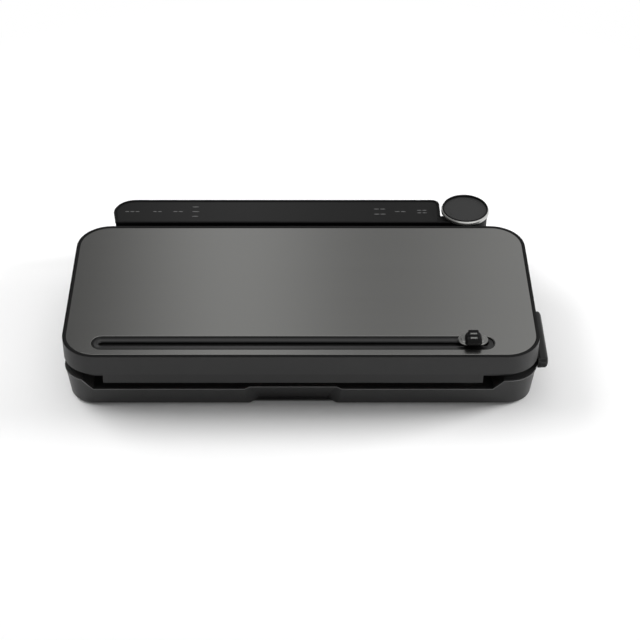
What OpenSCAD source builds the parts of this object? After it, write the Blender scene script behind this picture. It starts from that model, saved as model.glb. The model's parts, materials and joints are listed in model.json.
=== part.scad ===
// Counter-top vacuum sealer with a hinged lid, a bag cutter that slides along the lid,
// a side latch, and a hand-held suction head in a dock at the back. Millimetres.
// Modelled about the middle of the lid: +X right, +Y to the back, +Z up, table at z = 0.

/* [Lid] */
// Outer width of the lid
lid_w = 396; // [388:1:410]
// Outer depth of the lid
lid_d = 179; // [176:1:190]
// Plan radius of the lid's corners
lid_r = 29; // [26:1:33]
// Height of the lid's outer band
band_h = 19; // [18:0.5:24]
// Width of the plastic rim round the steel cover
rim_w = 2.8; // [2:0.2:4]
// Wall of the moulded covers
wall = 2.2; // [1.8:0.1:2.4]
// Thickness of the steel cover
panel_t = 0.8; // [0.5:0.1:1.2]
// Radius on the lid's top edge
lid_edge_r = 1.2; // [0.6:0.1:2]
// How far the lower lid is set in from the band at the sides
inner_inset = 7; // [6:0.5:8]
// How far the lower lid is set in from the band at the back
inner_back = 13.5; // [13.2:0.1:15]
// Set-back of the front pad below the band
pad_back = 1.5; // [1:0.1:2]

/* [Base] */
// Height of the base above its feet
base_h = 28; // [26:0.5:32]
// Height of the rubber feet
foot_h = 1; // [1:0.5:4]
// Radius of a foot
foot_r = 8; // [6:0.5:10]
// How far the base stands in from the lid
base_inset = 1; // [0.5:0.25:2]
// How much tighter the base's corners are than the lid's
corner_less = 4; // [2:0.5:6]
// How far the base's walls lean in towards the bottom
base_taper = 3; // [2:0.5:6]
// Radius on the base's bottom edge
base_edge_r = 2; // [1.5:0.5:5]
// Gap between the base's shoulders and the lid's band
lid_gap = 8; // [8:0.5:10]
// Play between the closed lid and the base
lid_seat = 0.4; // [0.3:0.1:0.8]

/* [Bag slot] */
// Sideways place of the slot, the cutter and the finger recess
bag_x = -6.5; // [-10:0.5:0]
// How much narrower the slot is than the lid, at the base's front lip
slot_less = 64; // [60:1:70]
// Depth of the slot below the shoulders
slot_drop = 10; // [10:0.5:12]
// Sideways run of the slot's sloping ends
slot_slope = 8.7; // [7:0.1:10]
// Distance of the slot's back wall behind the lid's front
slot_depth = 67.5; // [65.5:0.5:67.5]
// How much narrower the lid's front pad is than the slot it comes down into
pad_less = 18; // [14:1:20]
// Clear height between the lip and the pad
slot_gap = 7.4; // [6.6:0.2:8]
// Width of the finger recess in the base's front
finger_w = 81; // [60:1:100]
// Depth of the finger recess at the lip
finger_d = 2.9; // [2:0.1:4]
// Depth of the finger recess at the bottom
finger_low = 6.9; // [5:0.1:8]
// Sideways run of the recess's slanted ends
finger_slope = 10; // [8:1:14]

/* [Vacuum channel] */
// How much shorter the vacuum channel is than the pad
channel_less = 26; // [24:1:44]
// Width of the vacuum channel
channel_w = 18; // [14:1:18]
// Depth of the vacuum channel
channel_h = 10; // [8:0.5:10]
// Width of a foam gasket
gasket_w = 5; // [4:0.5:5]
// Height of the lower gasket above its face
gasket_h = 3.8; // [3.4:0.1:4]
// Width of the heated seal bar
bar_w = 8; // [7:0.5:8]
// How much shorter the heated seal bar is than the pad
bar_less = 14; // [10:1:34]

/* [Cutter] */
// How much shorter the cutter's track is than the lid is wide
track_less = 63; // [60:1:96]
// Width of the cutter's track
track_w = 17; // [16:0.5:18]
// Distance of the track's middle from the lid's front
track_in = 17.9; // [17:0.1:18.4]
// Depth of the track's dished sides
dish_h = 2; // [1.5:0.1:2.2]
// Width of the blade slot
blade_slot = 4.2; // [3.8:0.1:5]
// Length of the cutter's oval plate
plate_l = 25; // [22:0.5:28]
// Width of the cutter's oval plate
plate_w = 15.7; // [14:0.1:16]
// Height of the cutter's grip above its plate
grip_h = 8.6; // [6:0.2:10]
// Thickness of the cutter's blade
blade_t = 0.6; // [0.4:0.1:0.8]

/* [Rear housing] */
// Gap between the lid and the rear housing
rear_gap = 8; // [7.5:0.5:10]
// Depth of the rear housing's top
rear_d = 33.4; // [33:0.2:36]
// How far each end of the rear housing stands in from the lid's side
rear_less = 29; // [28:1:31]
// Radius of the housing's left rear corner
rear_r = 18; // [8:1:18]
// How far the housing's left end runs in towards the front
end_lean = 2.4; // [0:0.2:3]
// Radius of the housing's right rear corner, beside the dock
rear_r_small = 6; // [3:1:8]
// How far the housing's top lies below the lid's top
rear_drop = 2; // [1.6:0.1:2.5]
// Wall of the rear housing
rear_wall = 2.4; // [2:0.1:2.6]
// Thickness of the control panel's overlay
overlay_t = 0.8; // [0.5:0.1:1]

/* [Hand-held head] */
// Radius of the head's round cap
cap_r = 21; // [20.6:0.1:21.2]
// Height of the cap
cap_h = 5.2; // [4.6:0.1:6]
// Height of the bright ring round the cap
ring_h = 4; // [3:0.1:4.2]
// Bevel on the ring's top edge
cap_bevel = 0.5; // [0.3:0.1:0.7]
// Radius of the head's barrel
barrel_r = 16.8; // [16:0.1:17]
// Running play between the barrel and its dock
dock_play = 0.6; // [0.4:0.1:0.8]
// Distance of the dock's axis behind the lid
dock_in = 22.6; // [22.4:0.1:24]

/* [Latch] */
// Length of the side lever from its front tip to its pivot
lever_l = 58; // [50:1:62]
// Length of the lever's tail behind the pivot
lever_tail = 10; // [8:0.5:12]
// Height of the lever
lever_h = 10.4; // [9:0.2:10.6]
// How far the lever stands out past the lid
lever_out = 8.3; // [6:0.1:9]
// Length of the lever's finger pad, which reaches in under the lid's band
lever_pad = 47; // [40:1:48]
// Distance of the latch shaft behind the lid's front
latch_in = 75.5; // [75.5:0.5:77.5]
// Radius of the latch shaft
shaft_r = 3; // [2.5:0.1:3]
// Distance of each latch hook in from the lid's side
hook_in = 33; // [30:1:36]
// Radius of a catch pin
catch_r = 2; // [1.6:0.1:2.2]

/* [Hinge] */
// Distance of each hinge in from the lid's side
hinge_side = 78; // [68:1:98]
// Distance of the hinge axis in from the lid's back
hinge_in = 13; // [12.5:0.1:13]
// Distance of the hinge axis below the lid's top
hinge_drop = 7.5; // [7.4:0.1:7.6]
// Radius of a hinge pin
hinge_pin_r = 2; // [1.6:0.1:2.2]
// Radius of the eye round a hinge pin
hinge_eye_r = 4; // [3.6:0.1:4.2]

/* [Pump] */
// Distance of the pump's crank in from the housing's left end
pump_in = 118; // [110:1:124]
// Radius of the pump's motor
motor_r = 13; // [11:0.5:13]
// Length of the pump's motor
motor_l = 48; // [40:1:52]
// Throw of the pump's crank
crank_throw = 2.5; // [1.5:0.1:2.6]

/* [Hidden] */
$fn = 64;

// Play between pieces that seat in each other, running play of a shaft, and a cut's overrun
fit = 0.15;
run_play = 0.05;
seat = 0.02;
over = 1;

// Heights
tub_z = foot_h;
deck_z = foot_h + base_h;
lip_z = deck_z - slot_drop;
band_z = deck_z + lid_gap;
lid_z = band_z + band_h;
roof_z = lid_z - panel_t - wall;
inner_z = deck_z + lid_seat;
inner_top = band_z + wall;
pad_z = lip_z + slot_gap;
rear_z = lid_z - rear_drop;

// Plan of the base
base_w = lid_w - 2 * base_inset;
base_d = lid_d - 2 * base_inset;
base_r = lid_r - base_inset - corner_less;
tub_wall = wall + 0.3;
floor_z = tub_z + tub_wall;
lean_z = tub_z + base_edge_r;
slot_w = lid_w - slot_less;
pad_w = slot_w - pad_less;
zone_y = -lid_d / 2 + slot_depth;
lip_face = base_d / 2 - base_taper * slot_drop / (deck_z - lean_z);

// Bridge between the base and the rear housing
bridge_x0 = -lid_w / 2 + 48;
bridge_x1 = lid_w / 2 - 78;
bridge_z0 = tub_z + 2;
bridge_z1 = deck_z - 2;

// Vacuum channel, gaskets and seal bar
ring_margin = 2;
ring_r = 9;
ring_seat = 1;
seal_play = 0.2;
channel_l = pad_w - channel_less;
ring_l = channel_l + 2 * (ring_margin + gasket_w);
ring_d = channel_w + 2 * (ring_margin + gasket_w);
channel_y = zone_y - 1.5 - ring_d / 2;
bar_y = channel_y - ring_d / 2 - 2 - bar_w / 2;
bar_l = pad_w - bar_less;
strip_w = 3;
strip_t = 0.3;
tape_t = 0.2;
bar_h = gasket_h - 0.3 - strip_t - tape_t;
seal_top = lip_z + gasket_h + seal_play;
tray_wall = 1.5;
port_x = bag_x - 5.5;
port_z = lip_z - 6;
port_r = 2.5;

// Cutter
track_y = -lid_d / 2 + track_in;
track_l = lid_w - track_less;
flange_w = 0.9;
dish_rim = 0.6;
rail_w = 11;
rail_z = lid_z - dish_h - 2;
track_bottom = rail_z - 6;
cutter_end = 9.8;
cutter_run = track_l - track_w - 2 * cutter_end;
cutter_x = bag_x + cutter_run / 2;
plate_play = 0.4;
plate_t = 1.6;
plate_dome = 0.7;
foot_play = 0.4;
blade_l = 10;
blade_tip = pad_z - 2;
pad_slot_w = 3;

// Rear housing and dock
rear_y0 = lid_d / 2 + rear_gap;
rear_y1 = rear_y0 + rear_d;
rear_x0 = -lid_w / 2 + rear_less;
dock_r = cap_r - 1;
dock_x = lid_w / 2 - rear_less - dock_r;
dock_y = lid_d / 2 + dock_in;
bore_r = barrel_r + dock_play;
rear_x1 = dock_x - dock_r - 3.5;
web_y = rear_y0 + 9.8;
dock_floor = tub_z + 4;
rear_floor = tub_z + rear_wall;
top_wall = 2.4;
rear_roof = rear_z - overlay_t - top_wall;
overlay_in = 2;
cap_play = 0.4;
cap_z = rear_z + cap_play;
ring_z = cap_z + cap_h - ring_h;
ring_t = 1.1;
ring_lean = 0.4;

// Latch
latch_y = -lid_d / 2 + latch_in;
latch_z = deck_z + shaft_r + 0.5;
lever_x0 = lid_w / 2 + 0.7;
lever_x1 = lid_w / 2 + lever_out;
lever_z = latch_z - 1;
hook_x = lid_w / 2 - hook_in;
bearing_x = hook_x + 13;
bearing_w = 8;
bearing_t = 1.2;
catch_rise = 11;
hook_t = 4;
hook_in_r = catch_rise + catch_r + 0.5;
hook_out_r = hook_in_r + 3.5;
hook_open_a = 76;
hook_back_a = 24;
hook_gap = 4;

// Channel in the lower lid for the latch shaft
groove_w = shaft_r + bearing_t + 1.6;
groove_z = latch_z + shaft_r + bearing_t + 0.8;

// Hinge
hinge_x = lid_w / 2 - hinge_side;
hinge_y = lid_d / 2 - hinge_in;
hinge_z = lid_z - hinge_drop;
tower_w = 10;
tower_play = 0.6;
lug_w = 3.5;

// Pump, in the rear housing
pump_x = rear_x0 + pump_in;
pump_y = (rear_y0 + rear_y1) / 2;
mount_h = 2.5;
frame_t = 2;
frame_z = rear_floor + mount_h;
pump_z = frame_z + frame_t + motor_r;
upright_t = 3;
upright_gap = 16;
upright_x = pump_x - upright_gap / 2 - upright_t;
head_z = pump_z + 18;
head_h = 6.4;
chamber_r = 8;
chamber_h = 4.6;
crank_r = 7;
crank_pin_r = 2;
axle_r = 1.2;
board_t = 1.6;
board_z = rear_roof - 3.8;
tube_r = 2.5;
tube_z = head_z + 3;
valve_x = port_x + 24;
valve_r = 7;
valve_h = 26;
plunger_r = 3;
hose_r = 3;
hose_z = tub_z + 8.5;
hose_end = dock_x - bore_r + 1.5;
hose_y = rear_y0 + 7;

// Small parts that repeat
screw_r = 1.5;
screw_head_r = 2.8;
boss_r = 4;
lid_screw_x = lid_w / 2 - 48;
lid_screw_xy = [for (x = [-1, -1 / 3, 1 / 3, 1] * lid_screw_x, y = [latch_y + 24, hinge_y - 18.5]) [x, y]];
case_screw_x = lid_w / 2 - 26;
case_screw_xy = [for (s = [-1, 1], y = [latch_y + 24, lid_d / 2 - 29.5]) [s * case_screw_x, y]];
foot_xy = [for (sx = [-1, 1], sy = [-1, 1]) [sx * (lid_w / 2 - 38), sy * (lid_d / 2 - 29.5)]];
rear_foot_xy = [[rear_x0 + 29, pump_y], [rear_x1 - 25, pump_y]];
light_xy = concat(
    [for (x = [16, 39, 57.5]) [rear_x0 + x, pump_y]],
    [for (dy = [-4, 4]) [rear_x1 - 53, pump_y + dy]],
    [for (x = [34.5, 15]) [rear_x1 - x, pump_y]]);

// Boards in the base and the inlet in the rear housing
board_x = -lid_w / 2 + 48;
board_l = 90;
board_d = 50;
board_y = lid_d / 2 - 69.5;
board_lift = 3;
core_size = [34, 20, 15];
coil_size = [22, 32, 11];
standoff_r = 3;
inlet_x = rear_x0 + 39;
inlet_z = tub_z + 20;
inlet_w = 24;
inlet_h = 16;
inlet_depth = 18;
coil_x = 70;
coil_y = hinge_y - 40.5;
coil_r = 38;

// Whole part, used to centre it on the origin
part_x0 = -lid_w / 2;
part_x1 = lever_x1;
part_y0 = -lid_d / 2;
part_y1 = max(rear_y1, dock_y + cap_r);

module placed() {
    translate([-(part_x0 + part_x1) / 2, -(part_y0 + part_y1) / 2, 0]) children();
}

// ---- Shared shapes ----

function arc(c, r, a0, a1, n) =
    [for (i = [0:n]) c + r * [cos(a0 + (a1 - a0) * i / n), sin(a0 + (a1 - a0) * i / n)]];

module box(x0, y0, z0, x1, y1, z1) {
    translate([x0, y0, z0]) cube([x1 - x0, y1 - y0, z1 - z0]);
}

module disc(x, y, z0, z1, r) {
    translate([x, y, z0]) cylinder(r = r, h = z1 - z0);
}

// A Y-Z outline drawn out along X
module across(x0, x1) {
    translate([x0, 0, 0]) rotate([90, 0, 90]) linear_extrude(x1 - x0) children();
}

// An X-Z outline drawn out along Y
module along(y0, y1) {
    translate([0, y1, 0]) rotate([90, 0, 0]) linear_extrude(y1 - y0) children();
}

// A rod along X
module x_rod(x0, x1, y, z, r) {
    translate([x0, y, z]) rotate([0, 90, 0]) cylinder(r = r, h = x1 - x0);
}

module both_sides() {
    children();
    mirror([1, 0, 0]) children();
}

module at_each(places) {
    for (p = places) translate([p[0], p[1], 0]) children();
}

// A section swept round a rounded rectangle: its x runs out from the corner centres
module sweep_round(w, d, r) {
    for (i = [0:3]) {
        a = i % 2 == 0 ? w : d;
        b = i % 2 == 0 ? d : w;
        rotate([0, 0, 90 * i]) translate([a / 2 - r, b / 2 - r, 0]) {
            rotate([90, 0, 0]) linear_extrude(b - 2 * r) children();
            rotate_extrude(angle = 90) children();
        }
    }
}

// The same, filled: the section starts at x = 0 and spans z0 to z1 there
module swept_slab(w, d, r, z0, z1) {
    sweep_round(w, d, r) children();
    box(-w / 2 + r, -d / 2 + r, z0, w / 2 - r, d / 2 - r, z1);
}

module round_slab(w, d, r, z0, z1) {
    swept_slab(w, d, r, z0, z1) translate([0, z0]) square([r, z1 - z0]);
}

module stadium(l, w, z0, z1) {
    for (s = [-1, 1]) disc(s * (l - w) / 2, 0, z0, z1, w / 2);
    box(-(l - w) / 2, -w / 2, z0, (l - w) / 2, w / 2, z1);
}

// What a rounded corner leaves off a square one; sx and sy tell which corner it is
module corner_off(x, y, r, sx, sy) {
    translate([x - sx * r, y - sy * r]) difference() {
        translate([sx > 0 ? 0 : -r - over, sy > 0 ? 0 : -r - over]) square(r + over);
        circle(r);
    }
}

// A pipe that runs from point to point along the axes
module pipe_run(points, r) {
    for (i = [0:len(points) - 2]) {
        d = points[i + 1] - points[i];
        turn = d[0] != 0 ? [0, 90 * sign(d[0]), 0]
            : d[1] != 0 ? [-90 * sign(d[1]), 0, 0] : [d[2] > 0 ? 0 : 180, 0, 0];
        translate(points[i]) rotate(turn) cylinder(r = r, h = norm(d));
    }
    for (i = [1:1:len(points) - 2]) translate(points[i]) sphere(r);
}

// ---- Base ----

module tub_outer() {
    foot_of_wall = base_r - base_taper;
    swept_slab(base_w, base_d, base_r, tub_z, deck_z) polygon(concat(
        [[0, tub_z]],
        arc([foot_of_wall - base_edge_r, lean_z], base_edge_r, -90, 0, 5),
        [[base_r, deck_z], [0, deck_z]]));
}

// The hollow inside the walls, smaller by play all round
module tub_hollow(play, top) {
    inner_r = base_r - tub_wall;
    rise = (inner_r - (inner_r - base_taper)) / (deck_z - floor_z);
    z0 = floor_z + play;
    swept_slab(base_w, base_d, base_r, z0, top) polygon([
        [0, z0], [inner_r - base_taper - play, z0],
        [inner_r - play + rise * (top - deck_z), top], [0, top]]);
}

// The line of the slot across the front, seen from the front, lowered by drop
function slot_line(half_w, drop) = [
    [-half_w, deck_z - drop], [bag_x - slot_w / 2 - slot_slope, deck_z - drop],
    [bag_x - slot_w / 2, lip_z - drop], [bag_x + slot_w / 2, lip_z - drop],
    [bag_x + slot_w / 2 + slot_slope, deck_z - drop], [half_w, deck_z - drop]];

module slot_cut() {
    rise = 3;
    run = slot_slope * rise / slot_drop;
    polygon([
        [bag_x - slot_w / 2 - slot_slope - run, deck_z + rise], [bag_x - slot_w / 2, lip_z],
        [bag_x + slot_w / 2, lip_z], [bag_x + slot_w / 2 + slot_slope + run, deck_z + rise]]);
}

// The finger recess from z0 to z1, grown by grow: slanted ends and a back face that leans in
module finger_block(grow, z0, z1) {
    half = finger_w / 2 + grow;
    reach = 12;
    run = reach * finger_slope / finger_low;
    y_lip = -lip_face + finger_d + grow;
    lean = (y_lip - (-base_d / 2 + base_taper + finger_low + grow)) / (lip_z - tub_z);
    intersection() {
        translate([bag_x, -lip_face, z0]) linear_extrude(z1 - z0) polygon([
            [-half - run, -reach], [half + run, -reach], [half - run, reach], [-half + run, reach]]);
        across(bag_x - lid_w / 2, bag_x + lid_w / 2) polygon([
            [-lid_d, z0 - over], [y_lip + lean * (z0 - over - lip_z), z0 - over],
            [y_lip + lean * (z1 + over - lip_z), z1 + over], [-lid_d, z1 + over]]);
    }
}

module base_tub() {
    color("dimgray") difference() {
        union() {
            difference() {
                union() {
                    tub_outer();
                    box(bridge_x0, 0, bridge_z0, bridge_x1, rear_y0, bridge_z1);
                }
                tub_hollow(0, deck_z + over);
                box(bridge_x0 + wall, 0, floor_z + wall, bridge_x1 - wall, rear_y0 + over,
                    bridge_z1 - wall);
            }
            intersection() {
                tub_outer();
                finger_block(tub_wall, tub_z, lip_z);
            }
            at_each(case_screw_xy) disc(0, 0, floor_z - over, deck_z - wall, boss_r);
            for (x = [5, board_l - 5], y = [5, board_d - 5])
                disc(board_x + x, board_y + y, floor_z - over, floor_z + board_lift, standoff_r);
        }
        along(-base_d / 2 - over, -base_d / 2 + base_r / 2) slot_cut();
        finger_block(0, tub_z - over, lip_z + over);
        at_each(case_screw_xy) {
            disc(0, 0, tub_z - over, deck_z, screw_r + seat);
            disc(0, 0, tub_z - over, tub_z + 2, screw_head_r + fit);
        }
        at_each(foot_xy) disc(0, 0, tub_z - over, tub_z + 1, foot_r + seat);
    }
}

module base_deck() {
    half_w = base_w / 2;
    color("darkslategray") difference() {
        intersection() {
            tub_hollow(fit, deck_z);
            union() {
                along(-base_d / 2, zone_y)
                    polygon(concat(slot_line(half_w, 0), [for (i = [5:-1:0]) slot_line(half_w, wall)[i]]));
                box(-half_w, zone_y, deck_z - wall, half_w, base_d / 2, deck_z);
                box(bag_x - slot_w / 2 - slot_slope, zone_y, lip_z - wall,
                    bag_x + slot_w / 2 + slot_slope, zone_y + wall, deck_z);
                box(bag_x - channel_l / 2 - wall, channel_y - channel_w / 2 - wall, lip_z - channel_h - wall,
                    bag_x + channel_l / 2 + wall, channel_y + channel_w / 2 + wall, lip_z - wall / 2);
            }
        }
        box(bag_x - channel_l / 2, channel_y - channel_w / 2, lip_z - channel_h,
            bag_x + channel_l / 2, channel_y + channel_w / 2, lip_z + over);
        translate([bag_x, channel_y, 0]) ring(lip_z - ring_seat, lip_z + over, seat);
        translate([port_x, channel_y, port_z]) rotate([-90, 0, 0])
            cylinder(r = port_r - 1, h = channel_w);
        finger_block(tub_wall + fit, tub_z, lip_z + over);
        for (s = [-1, 1])
            box(s * hook_x - hook_t, latch_y - 8, deck_z - wall - over,
                s * hook_x + hook_t, latch_y + 8, deck_z + over);
        at_each(case_screw_xy) disc(0, 0, deck_z - wall - over, deck_z + over, screw_r + seat);
    }
}

// A gasket's outline round the vacuum channel, wider by play on each side
module ring(z0, z1, play) {
    sweep_round(ring_l, ring_d, ring_r)
        translate([ring_r - gasket_w - play, z0]) square([gasket_w + 2 * play, z1 - z0]);
}

module rubber_feet() {
    color("black") {
        at_each(foot_xy) disc(0, 0, 0, tub_z + 1, foot_r);
        at_each(rear_foot_xy) disc(0, 0, 0, tub_z + 1, foot_r);
    }
}

module screw_up(z0, z1, head_h) {
    disc(0, 0, z0, z0 + head_h, screw_head_r);
    disc(0, 0, z0 + head_h, z1, screw_r);
}

module case_screws() {
    color("silver") at_each(case_screw_xy) screw_up(tub_z + 0.4, deck_z - 0.4, 1.6);
}

module drip_tray() {
    z0 = lip_z - channel_h;
    z1 = lip_z - 0.6;
    color("gray") translate([bag_x, channel_y, 0]) difference() {
        box(-channel_l / 2 + fit, -channel_w / 2 + fit, z0, channel_l / 2 - fit, channel_w / 2 - fit, z1);
        box(-channel_l / 2 + fit + tray_wall, -channel_w / 2 + fit + tray_wall, z0 + tray_wall,
            channel_l / 2 - fit - tray_wall, channel_w / 2 - fit - tray_wall, z1 + over);
    }
}

module lower_gasket() {
    color("black") translate([bag_x, channel_y, 0])
        ring(lip_z - ring_seat, lip_z + gasket_h, 0);
}

module seal_bar() {
    color("silver") box(bag_x - bar_l / 2, bar_y - bar_w / 2, lip_z, bag_x + bar_l / 2, bar_y + bar_w / 2,
        lip_z + bar_h);
}

module heating_strip() {
    z0 = lip_z + bar_h;
    color("peru") box(bag_x - bar_l / 2, bar_y - strip_w / 2, z0, bag_x + bar_l / 2, bar_y + strip_w / 2,
        z0 + strip_t);
}

module seal_tape() {
    z0 = lip_z + bar_h;
    color("sienna") difference() {
        box(bag_x - bar_l / 2, bar_y - bar_w / 2, z0, bag_x + bar_l / 2, bar_y + bar_w / 2,
            z0 + strip_t + tape_t);
        box(bag_x - bar_l / 2 - over, bar_y - strip_w / 2, z0 - over, bag_x + bar_l / 2 + over,
            bar_y + strip_w / 2, z0 + strip_t);
    }
}

module power_board() {
    z0 = floor_z + board_lift;
    translate([board_x, board_y, z0]) {
        color("darkgreen") cube([board_l, board_d, board_t]);
        color("midnightblue") for (x = [58, 72]) disc(x, board_d - 14, board_t, board_t + 14, 5);
        color("orange") box(52, 6, board_t, 78, 20, board_t + 9);
    }
}

module transformer() {
    color("goldenrod") translate([board_x + 10, board_y + 10, floor_z + board_lift + board_t]) {
        translate([0, (coil_size[1] - core_size[1]) / 2, 0]) cube(core_size);
        translate([(core_size[0] - coil_size[0]) / 2, 0, 0]) cube(coil_size);
    }
}

module hinge_brackets() {
    color("silver") both_sides() across(hinge_x - tower_w / 2, hinge_x + tower_w / 2) difference() {
        union() {
            translate([hinge_y - hinge_eye_r, deck_z]) square([2 * hinge_eye_r, hinge_z - deck_z]);
            translate([hinge_y, hinge_z]) circle(hinge_eye_r);
        }
        translate([hinge_y, hinge_z]) circle(hinge_pin_r + run_play);
    }
}

module shaft_bearings() {
    half = shaft_r + bearing_t;
    color("whitesmoke") both_sides()
        across(bearing_x - bearing_w / 2, bearing_x + bearing_w / 2) difference() {
            union() {
                translate([latch_y - half, deck_z]) square([2 * half, latch_z - deck_z]);
                translate([latch_y, latch_z]) circle(half);
            }
            translate([latch_y - half, deck_z - half]) square([2 * half, half]);
            translate([latch_y, latch_z]) circle(shaft_r + run_play);
        }
}

module lid_switch() {
    x1 = -lid_w / 2 + inner_inset - 0.8;
    y0 = latch_y + 48;
    color("black") box(-base_w / 2 + 1, y0, deck_z, x1, y0 + 14, band_z - 1.6);
    color("silver") box(-base_w / 2 + 2, y0 + 4, band_z - 1.6, x1 - 1, y0 + 7, band_z - 0.4);
}

// ---- Rear housing ----

module rear_plan(inset) {
    difference() {
        translate([rear_x0 + inset, rear_y0 + inset])
            square([rear_x1 - rear_x0 - 2 * inset, rear_d - 2 * inset]);
        corner_off(rear_x0 + inset, rear_y1 - inset, rear_r - inset, -1, 1);
        translate([rear_x0 + inset, rear_y0]) polygon([
            [0, rear_d - rear_r], [end_lean, 0], [end_lean, -over], [-over, -over],
            [-over, rear_d - rear_r]]);
        corner_off(rear_x1 - inset, rear_y1 - inset, rear_r_small - inset, 1, 1);
    }
}

module rear_housing() {
    color("dimgray") difference() {
        union() {
            translate([0, 0, tub_z]) linear_extrude(rear_z - tub_z) rear_plan(0);
            disc(dock_x, dock_y, tub_z, rear_z, dock_r);
            box(rear_x1 - over, rear_y0, tub_z, dock_x, web_y, rear_z);
        }
        translate([0, 0, rear_floor]) linear_extrude(rear_roof - rear_floor) rear_plan(rear_wall);
        translate([0, 0, rear_z - overlay_t]) linear_extrude(overlay_t + over) rear_plan(overlay_in);
        disc(dock_x, dock_y, dock_floor, rear_z + over, bore_r);
        box(bridge_x0 + wall, rear_y0 - over, floor_z + wall, bridge_x1 - wall, rear_y0 + rear_wall + over,
            bridge_z1 - wall);
        at_each(light_xy) disc(0, 0, rear_roof - over, rear_z, 1 + seat);
        at_each(rear_foot_xy) disc(0, 0, tub_z - over, tub_z + 1, foot_r + seat);
        x_rod(rear_x1 - rear_wall - over, hose_end + over, hose_y, hose_z, hose_r + seat);
        inlet_block(0, rear_y1 - rear_wall - over, rear_y1 + over);
    }
}

module control_overlay() {
    color("black") translate([0, 0, rear_z - overlay_t]) linear_extrude(overlay_t)
        rear_plan(overlay_in + seat);
}

module control_board() {
    color("darkgreen") box(rear_x0 + 12, rear_y0 + 4, board_z, rear_x1 - 6, rear_y1 - 6, board_z + board_t);
    color("black") for (x = [rear_x0 + 109, rear_x0 + 149, rear_x1 - 95.5])
        translate([x, pump_y - 5, board_z + board_t]) cube([12, 10, 1.4]);
    color("white") for (x = [rear_x0 + 16, (rear_x0 + rear_x1) / 2 - 12, rear_x1 - 10])
        disc(x, rear_y0 + 7, board_z + board_t, rear_roof, 1.5);
}

module status_lights() {
    color("deepskyblue") at_each(light_xy) disc(0, 0, board_z + board_t, rear_z - overlay_t, 1);
}

// The inlet's block, smaller by play all round
module inlet_block(play, y0, y1) {
    box(inlet_x - inlet_w / 2 + play, y0, inlet_z - inlet_h / 2 + play,
        inlet_x + inlet_w / 2 - play, y1, inlet_z + inlet_h / 2 - play);
}

module power_inlet() {
    lobe_r = 5;
    lobe_x = 4;
    bottom_y = rear_y1 - 12;
    color("black") difference() {
        union() {
            inlet_block(seat, rear_y1 - inlet_depth, rear_y1);
            inlet_block(-2, rear_y1 - rear_wall - 2, rear_y1 - rear_wall);
        }
        for (s = [-1, 1]) translate([inlet_x + lobe_x * s, bottom_y, inlet_z]) rotate([-90, 0, 0])
            cylinder(r = lobe_r, h = inlet_depth);
        box(inlet_x - lobe_x, bottom_y, inlet_z - lobe_r, inlet_x + lobe_x, rear_y1 + over, inlet_z + lobe_r);
    }
    color("gold") for (s = [-1, 1]) translate([inlet_x + lobe_x * s, bottom_y, inlet_z]) rotate([-90, 0, 0])
        cylinder(r = 1.2, h = 9);
}

// ---- Pump ----

module pump_mounts() {
    color("black") for (x = [upright_x - motor_l + 8, pump_x + upright_gap / 2 - 2], y = [-8, 8])
        disc(x, pump_y + y, rear_floor, frame_z, 3.5);
}

module pump_frame() {
    x0 = upright_x;
    x1 = pump_x + upright_gap / 2 + upright_t;
    color("lightsteelblue") difference() {
        union() {
            box(x0 - motor_l, pump_y - 12, frame_z, x1, pump_y + 12, frame_z + frame_t);
            for (x = [x0, x1 - upright_t])
                box(x, pump_y - 12, frame_z + frame_t / 2, x + upright_t, pump_y + 12, head_z);
        }
        x_rod(x0 - over, x0 + upright_t + over, pump_y, pump_z, 5 + seat);
    }
}

module pump_motor() {
    color("gainsboro") {
        x_rod(upright_x - motor_l, upright_x, pump_y, pump_z, motor_r);
        x_rod(upright_x, upright_x + upright_t - 0.5, pump_y, pump_z, 5);
        x_rod(upright_x, pump_x - 3.4, pump_y, pump_z, axle_r);
    }
}

module pump_head() {
    half = upright_gap / 2 + upright_t;
    color("slategray") difference() {
        union() {
            box(pump_x - half, pump_y - 12, head_z, pump_x + half, pump_y + 12, head_z + head_h);
            x_rod(pump_x + half - over, pump_x + half + 4, pump_y, tube_z, tube_r - 1);
        }
        disc(pump_x, pump_y, head_z - over, head_z + chamber_h, chamber_r);
    }
}

module pump_crank() {
    color("silver") {
        difference() {
            x_rod(pump_x - 6, pump_x - 3.2, pump_y, pump_z, crank_r);
            x_rod(pump_x - 7, pump_x - 3, pump_y, pump_z, axle_r + run_play);
        }
        x_rod(pump_x - 3.2, pump_x + 4, pump_y, pump_z + crank_throw, crank_pin_r);
    }
}

module pump_rod() {
    pin_z = pump_z + crank_throw;
    piston_z = head_z + chamber_h - 2.6;
    color("white") {
        difference() {
            union() {
                x_rod(pump_x - 2.6, pump_x + 2.6, pump_y, pin_z, 4.5);
                box(pump_x - 2.6, pump_y - 2, pin_z, pump_x + 2.6, pump_y + 2, piston_z);
                disc(pump_x, pump_y, piston_z, piston_z + 1.6, 5);
            }
            x_rod(pump_x - 4, pump_x + 4, pump_y, pin_z, crank_pin_r + run_play);
        }
    }
}

module release_valve() {
    color("cornflowerblue") difference() {
        disc(valve_x, pump_y, rear_floor, rear_floor + valve_h, valve_r);
        disc(valve_x, pump_y, rear_floor + 12, rear_floor + valve_h + over, plunger_r + run_play);
    }
}

module valve_plunger() {
    z1 = rear_floor + valve_h;
    color("silver") {
        disc(valve_x, pump_y, rear_floor + 15, z1 + 2.4, plunger_r);
        disc(valve_x, pump_y, z1 + 2.4, z1 + 4.4, plunger_r + 1.5);
    }
}

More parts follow.
